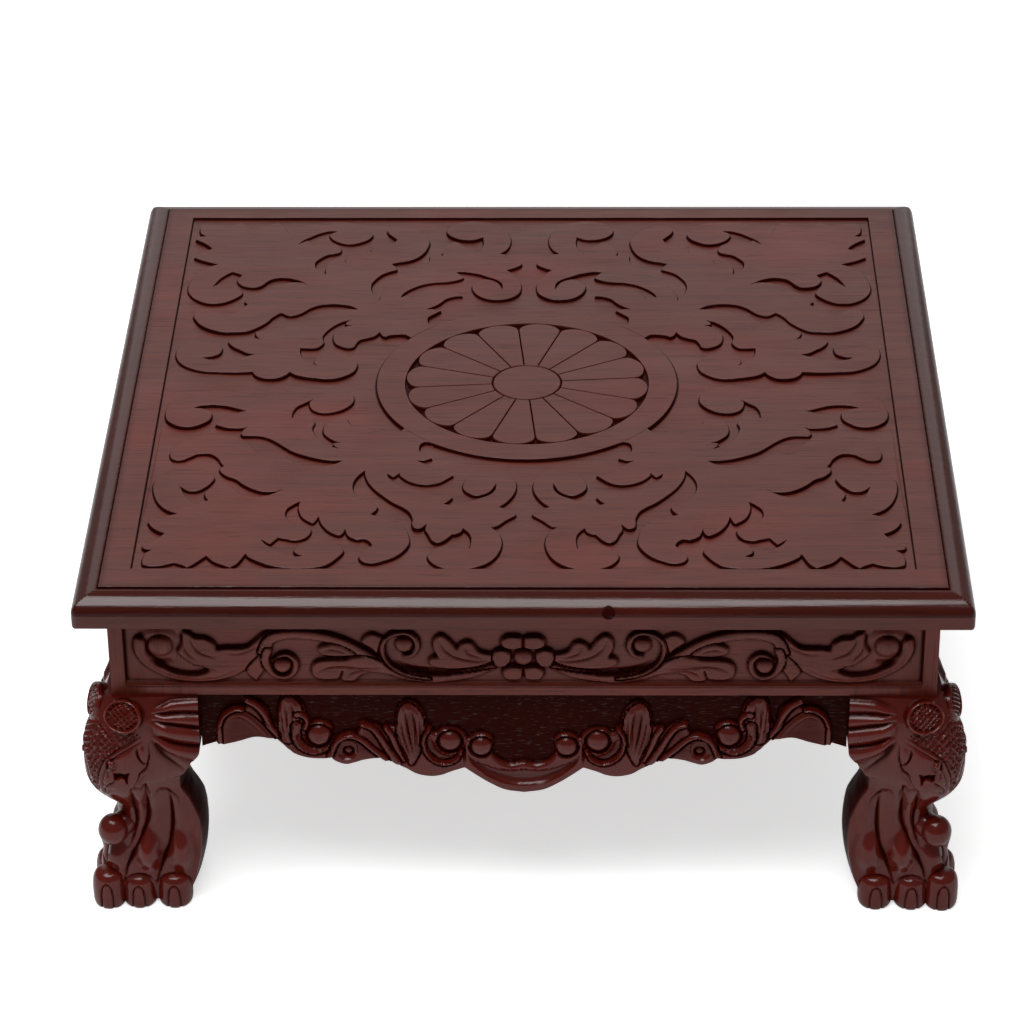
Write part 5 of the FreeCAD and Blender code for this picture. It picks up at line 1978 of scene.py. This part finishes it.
@dataclass(frozen=True)
class BareWood:
    """Sawn rosewood without a finish: matt, with fine scratches of the saw across its grain."""

    name: str = "rosewood_sawn"
    pale: str = "8A5A3C"
    dark: str = "5C3622"

    def build(self) -> bpy.types.Material:
        """Builds the material.

        Returns:
            The material.
        """
        material = bpy.data.materials.new(self.name)
        nodes = Nodes(material)
        add = nodes.add
        grain, saw = nodes.patterns(((18.0, 240.0, 240.0), 6.0), ((700.0, 40.0, 40.0), 3.0))
        tone = add("ValToRGB", (grain,), stops=((0.3, self.dark), (0.7, self.pale)))
        scratched = add("ValToRGB", (saw,), stops=((0.3, "9A9A9A"), (0.7, "FFFFFF")))
        tone = add("Mix", {0: 0.25, 6: tone, 7: scratched}, 2, data_type="RGBA", blend_type="MULTIPLY")
        normal = add("Bump", {"Strength": 0.4, "Distance": 0.0004, "Height": saw})
        rough = add("MapRange", {"Value": grain, "To Min": 0.6, "To Max": 0.8})
        surface = add("BsdfPrincipled", {
            "Base Color": tone, "Roughness": rough, "IOR": 1.5, "Normal": normal,
        })
        add("OutputMaterial", (surface,))
        return material


# The studio

@dataclass
class Studio:
    """A pale floor, a white surround, soft lamps and the camera of the photograph."""

    camera_place: tuple[float, float, float] = (0.0252, -1.879, 1.2717)
    tilt: float = 0.5513
    turn: float = 0.0181
    roll: float = -0.0085
    lens: float = 138.01
    sensor: float = 36.0
    fill: float = 0.22
    paper_lift: float = 0.62

    def build(self) -> None:
        """Sets the floor, the surround, the lamps and the camera."""
        self.floor()
        self.surround()
        self.lamp("key_softbox", (-0.25, -0.45, 1.75), (0.0, 0.0, 0.15), 1.25, 34.0)
        self.lamp("back_reflector", (0.0, 2.6, 1.1), (0.0, 0.0, 0.5), 3.0, 20.0)
        self.camera()

    def floor(self) -> None:
        """Lays the floor, nearly white so that it keeps only a faint shadow."""
        material = bpy.data.materials.new("paper_sweep_matt")
        nodes = Nodes(material)
        speck, = nodes.patterns(((60.0, 60.0, 60.0), 4.0))
        tone = nodes.add("ValToRGB", (speck,), stops=((0.3, "F4F4F4"), (0.7, "F8F8F8")))
        # Only the camera sees the paper lifted to white, and the shadow stays on it.
        seen = nodes.add("LightPath", output="Is Camera Ray")
        lift = nodes.add("Math", (seen, self.paper_lift), operation="MULTIPLY")
        surface = nodes.add("BsdfPrincipled", {
            "Base Color": tone, "Roughness": 0.9, "IOR": 1.4,
            "Emission Color": WHITE, "Emission Strength": lift,
        })
        nodes.add("OutputMaterial", (surface,))
        mesh = bpy.data.meshes.new("floor")
        mesh.from_pydata([(-6, -6, 0), (6, -6, 0), (6, 6, 0), (-6, 6, 0)], [], [(0, 1, 2, 3)])
        floor = bpy.data.objects.new("floor", mesh)
        mesh.materials.append(material)
        bpy.context.scene.collection.objects.link(floor)

    def surround(self) -> None:
        """Gives a white background to the camera, and a plain soft light to the table."""
        world = bpy.data.worlds.new("studio_surround")
        bpy.context.scene.world = world
        nodes = Nodes(world)
        light, white = (
            nodes.add("Background", {"Color": WHITE, "Strength": strength}) for strength in (self.fill, 1.0)
        )
        seen = nodes.add("LightPath", output="Is Camera Ray")
        nodes.add("OutputWorld", (nodes.add("MixShader", (seen, light, white)),))

    def lamp(self, name: str, place: tuple, target: tuple, size: float, power: float) -> None:
        """Hangs a square lamp that faces a point.

        Args:
            name: its name.
            place: where it hangs.
            target: the point that it faces.
            size: its side in metres.
            power: its power in watts.
        """
        data = bpy.data.lights.new(name, "AREA")
        data.size = size
        data.energy = power
        lamp = bpy.data.objects.new(name, data)
        lamp.location = place
        lamp.rotation_euler = (Vector(target) - Vector(place)).to_track_quat("-Z", "Y").to_euler()
        bpy.context.scene.collection.objects.link(lamp)

    def camera(self) -> None:
        """Sets the camera at the photograph's place, angle and lens."""
        data = bpy.data.cameras.new("camera")
        data.lens = self.lens
        data.sensor_width = self.sensor
        camera = bpy.data.objects.new("camera", data)
        camera.matrix_world = (
            Matrix.Translation(self.camera_place) @ Matrix.Rotation(self.turn, 4, "Z")
            @ Matrix.Rotation(math.pi / 2 - self.tilt, 4, "X") @ Matrix.Rotation(self.roll, 4, "Z")
        )
        bpy.context.scene.collection.objects.link(camera)
        bpy.context.scene.camera = camera
        bpy.context.scene.view_settings.view_transform = "Standard"


def coat_carried(nodes: Iterable[str], finish: bpy.types.Material) -> None:
    """Gives CAD nodes that are shown as they are a material.

    Args:
        nodes: the nodes' names.
        finish: the material.
    """
    for name in nodes:
        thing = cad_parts[name]
        if not thing.material_slots:
            thing.data.materials.append(finish)
        for slot in thing.material_slots:
            slot.material = finish


def main() -> None:
    """Builds the table and the studio round it."""
    logging.basicConfig(level=logging.INFO, format="%(message)s")
    top_lacquer = Lacquer(
        "rosewood_satin_lacquered", body="46180F", streak="521F14", deep="1C0202", worn="66180E",
        stain="280402", satin=0.38, polish=0.13, grain=(6.0, 160.0, 160.0),
    ).build()
    carved = Lacquer(
        "rosewood_carved_along", body="591C11", streak="662518", deep="1F0201", worn="82281A",
        stain="4C0703", satin=0.42, polish=0.14, grain=(8.0, 160.0, 160.0),
    )
    carved_along = carved.build()
    carved_across = replace(carved, name="rosewood_carved_across", grain=(160.0, 8.0, 160.0)).build()
    carved_upright = replace(
        carved, name="rosewood_carved_upright", grain=(160.0, 160.0, 8.0), fleck=0.05,
    ).build()
    bare = BareWood().build()
    Studio().build()
    top = Top()
    top.build(top_lacquer)
    Plug().build(top, top_lacquer)
    for side in Side:
        sideways = side in (Side.LEFT, Side.RIGHT)
        spans = {"half_length": 161.5, "face": 212.5, "stretch": 206 / 212.5} if sideways else {}
        carved_grain = carved_across if sideways else carved_along
        Rail(side, **spans).build(carved_grain)
        spans = {"half_length": 161.35, "face": 211.5, "stretch": 161.5 / 168} if sideways else {}
        Skirt(side, **spans).build(carved_grain)
    for corner in Corner:
        Leg(corner).build(carved_upright)
    coat_carried([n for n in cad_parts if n.startswith(("tongue", "batten", "brace"))], bare)


if __name__ == "__main__":
    main()
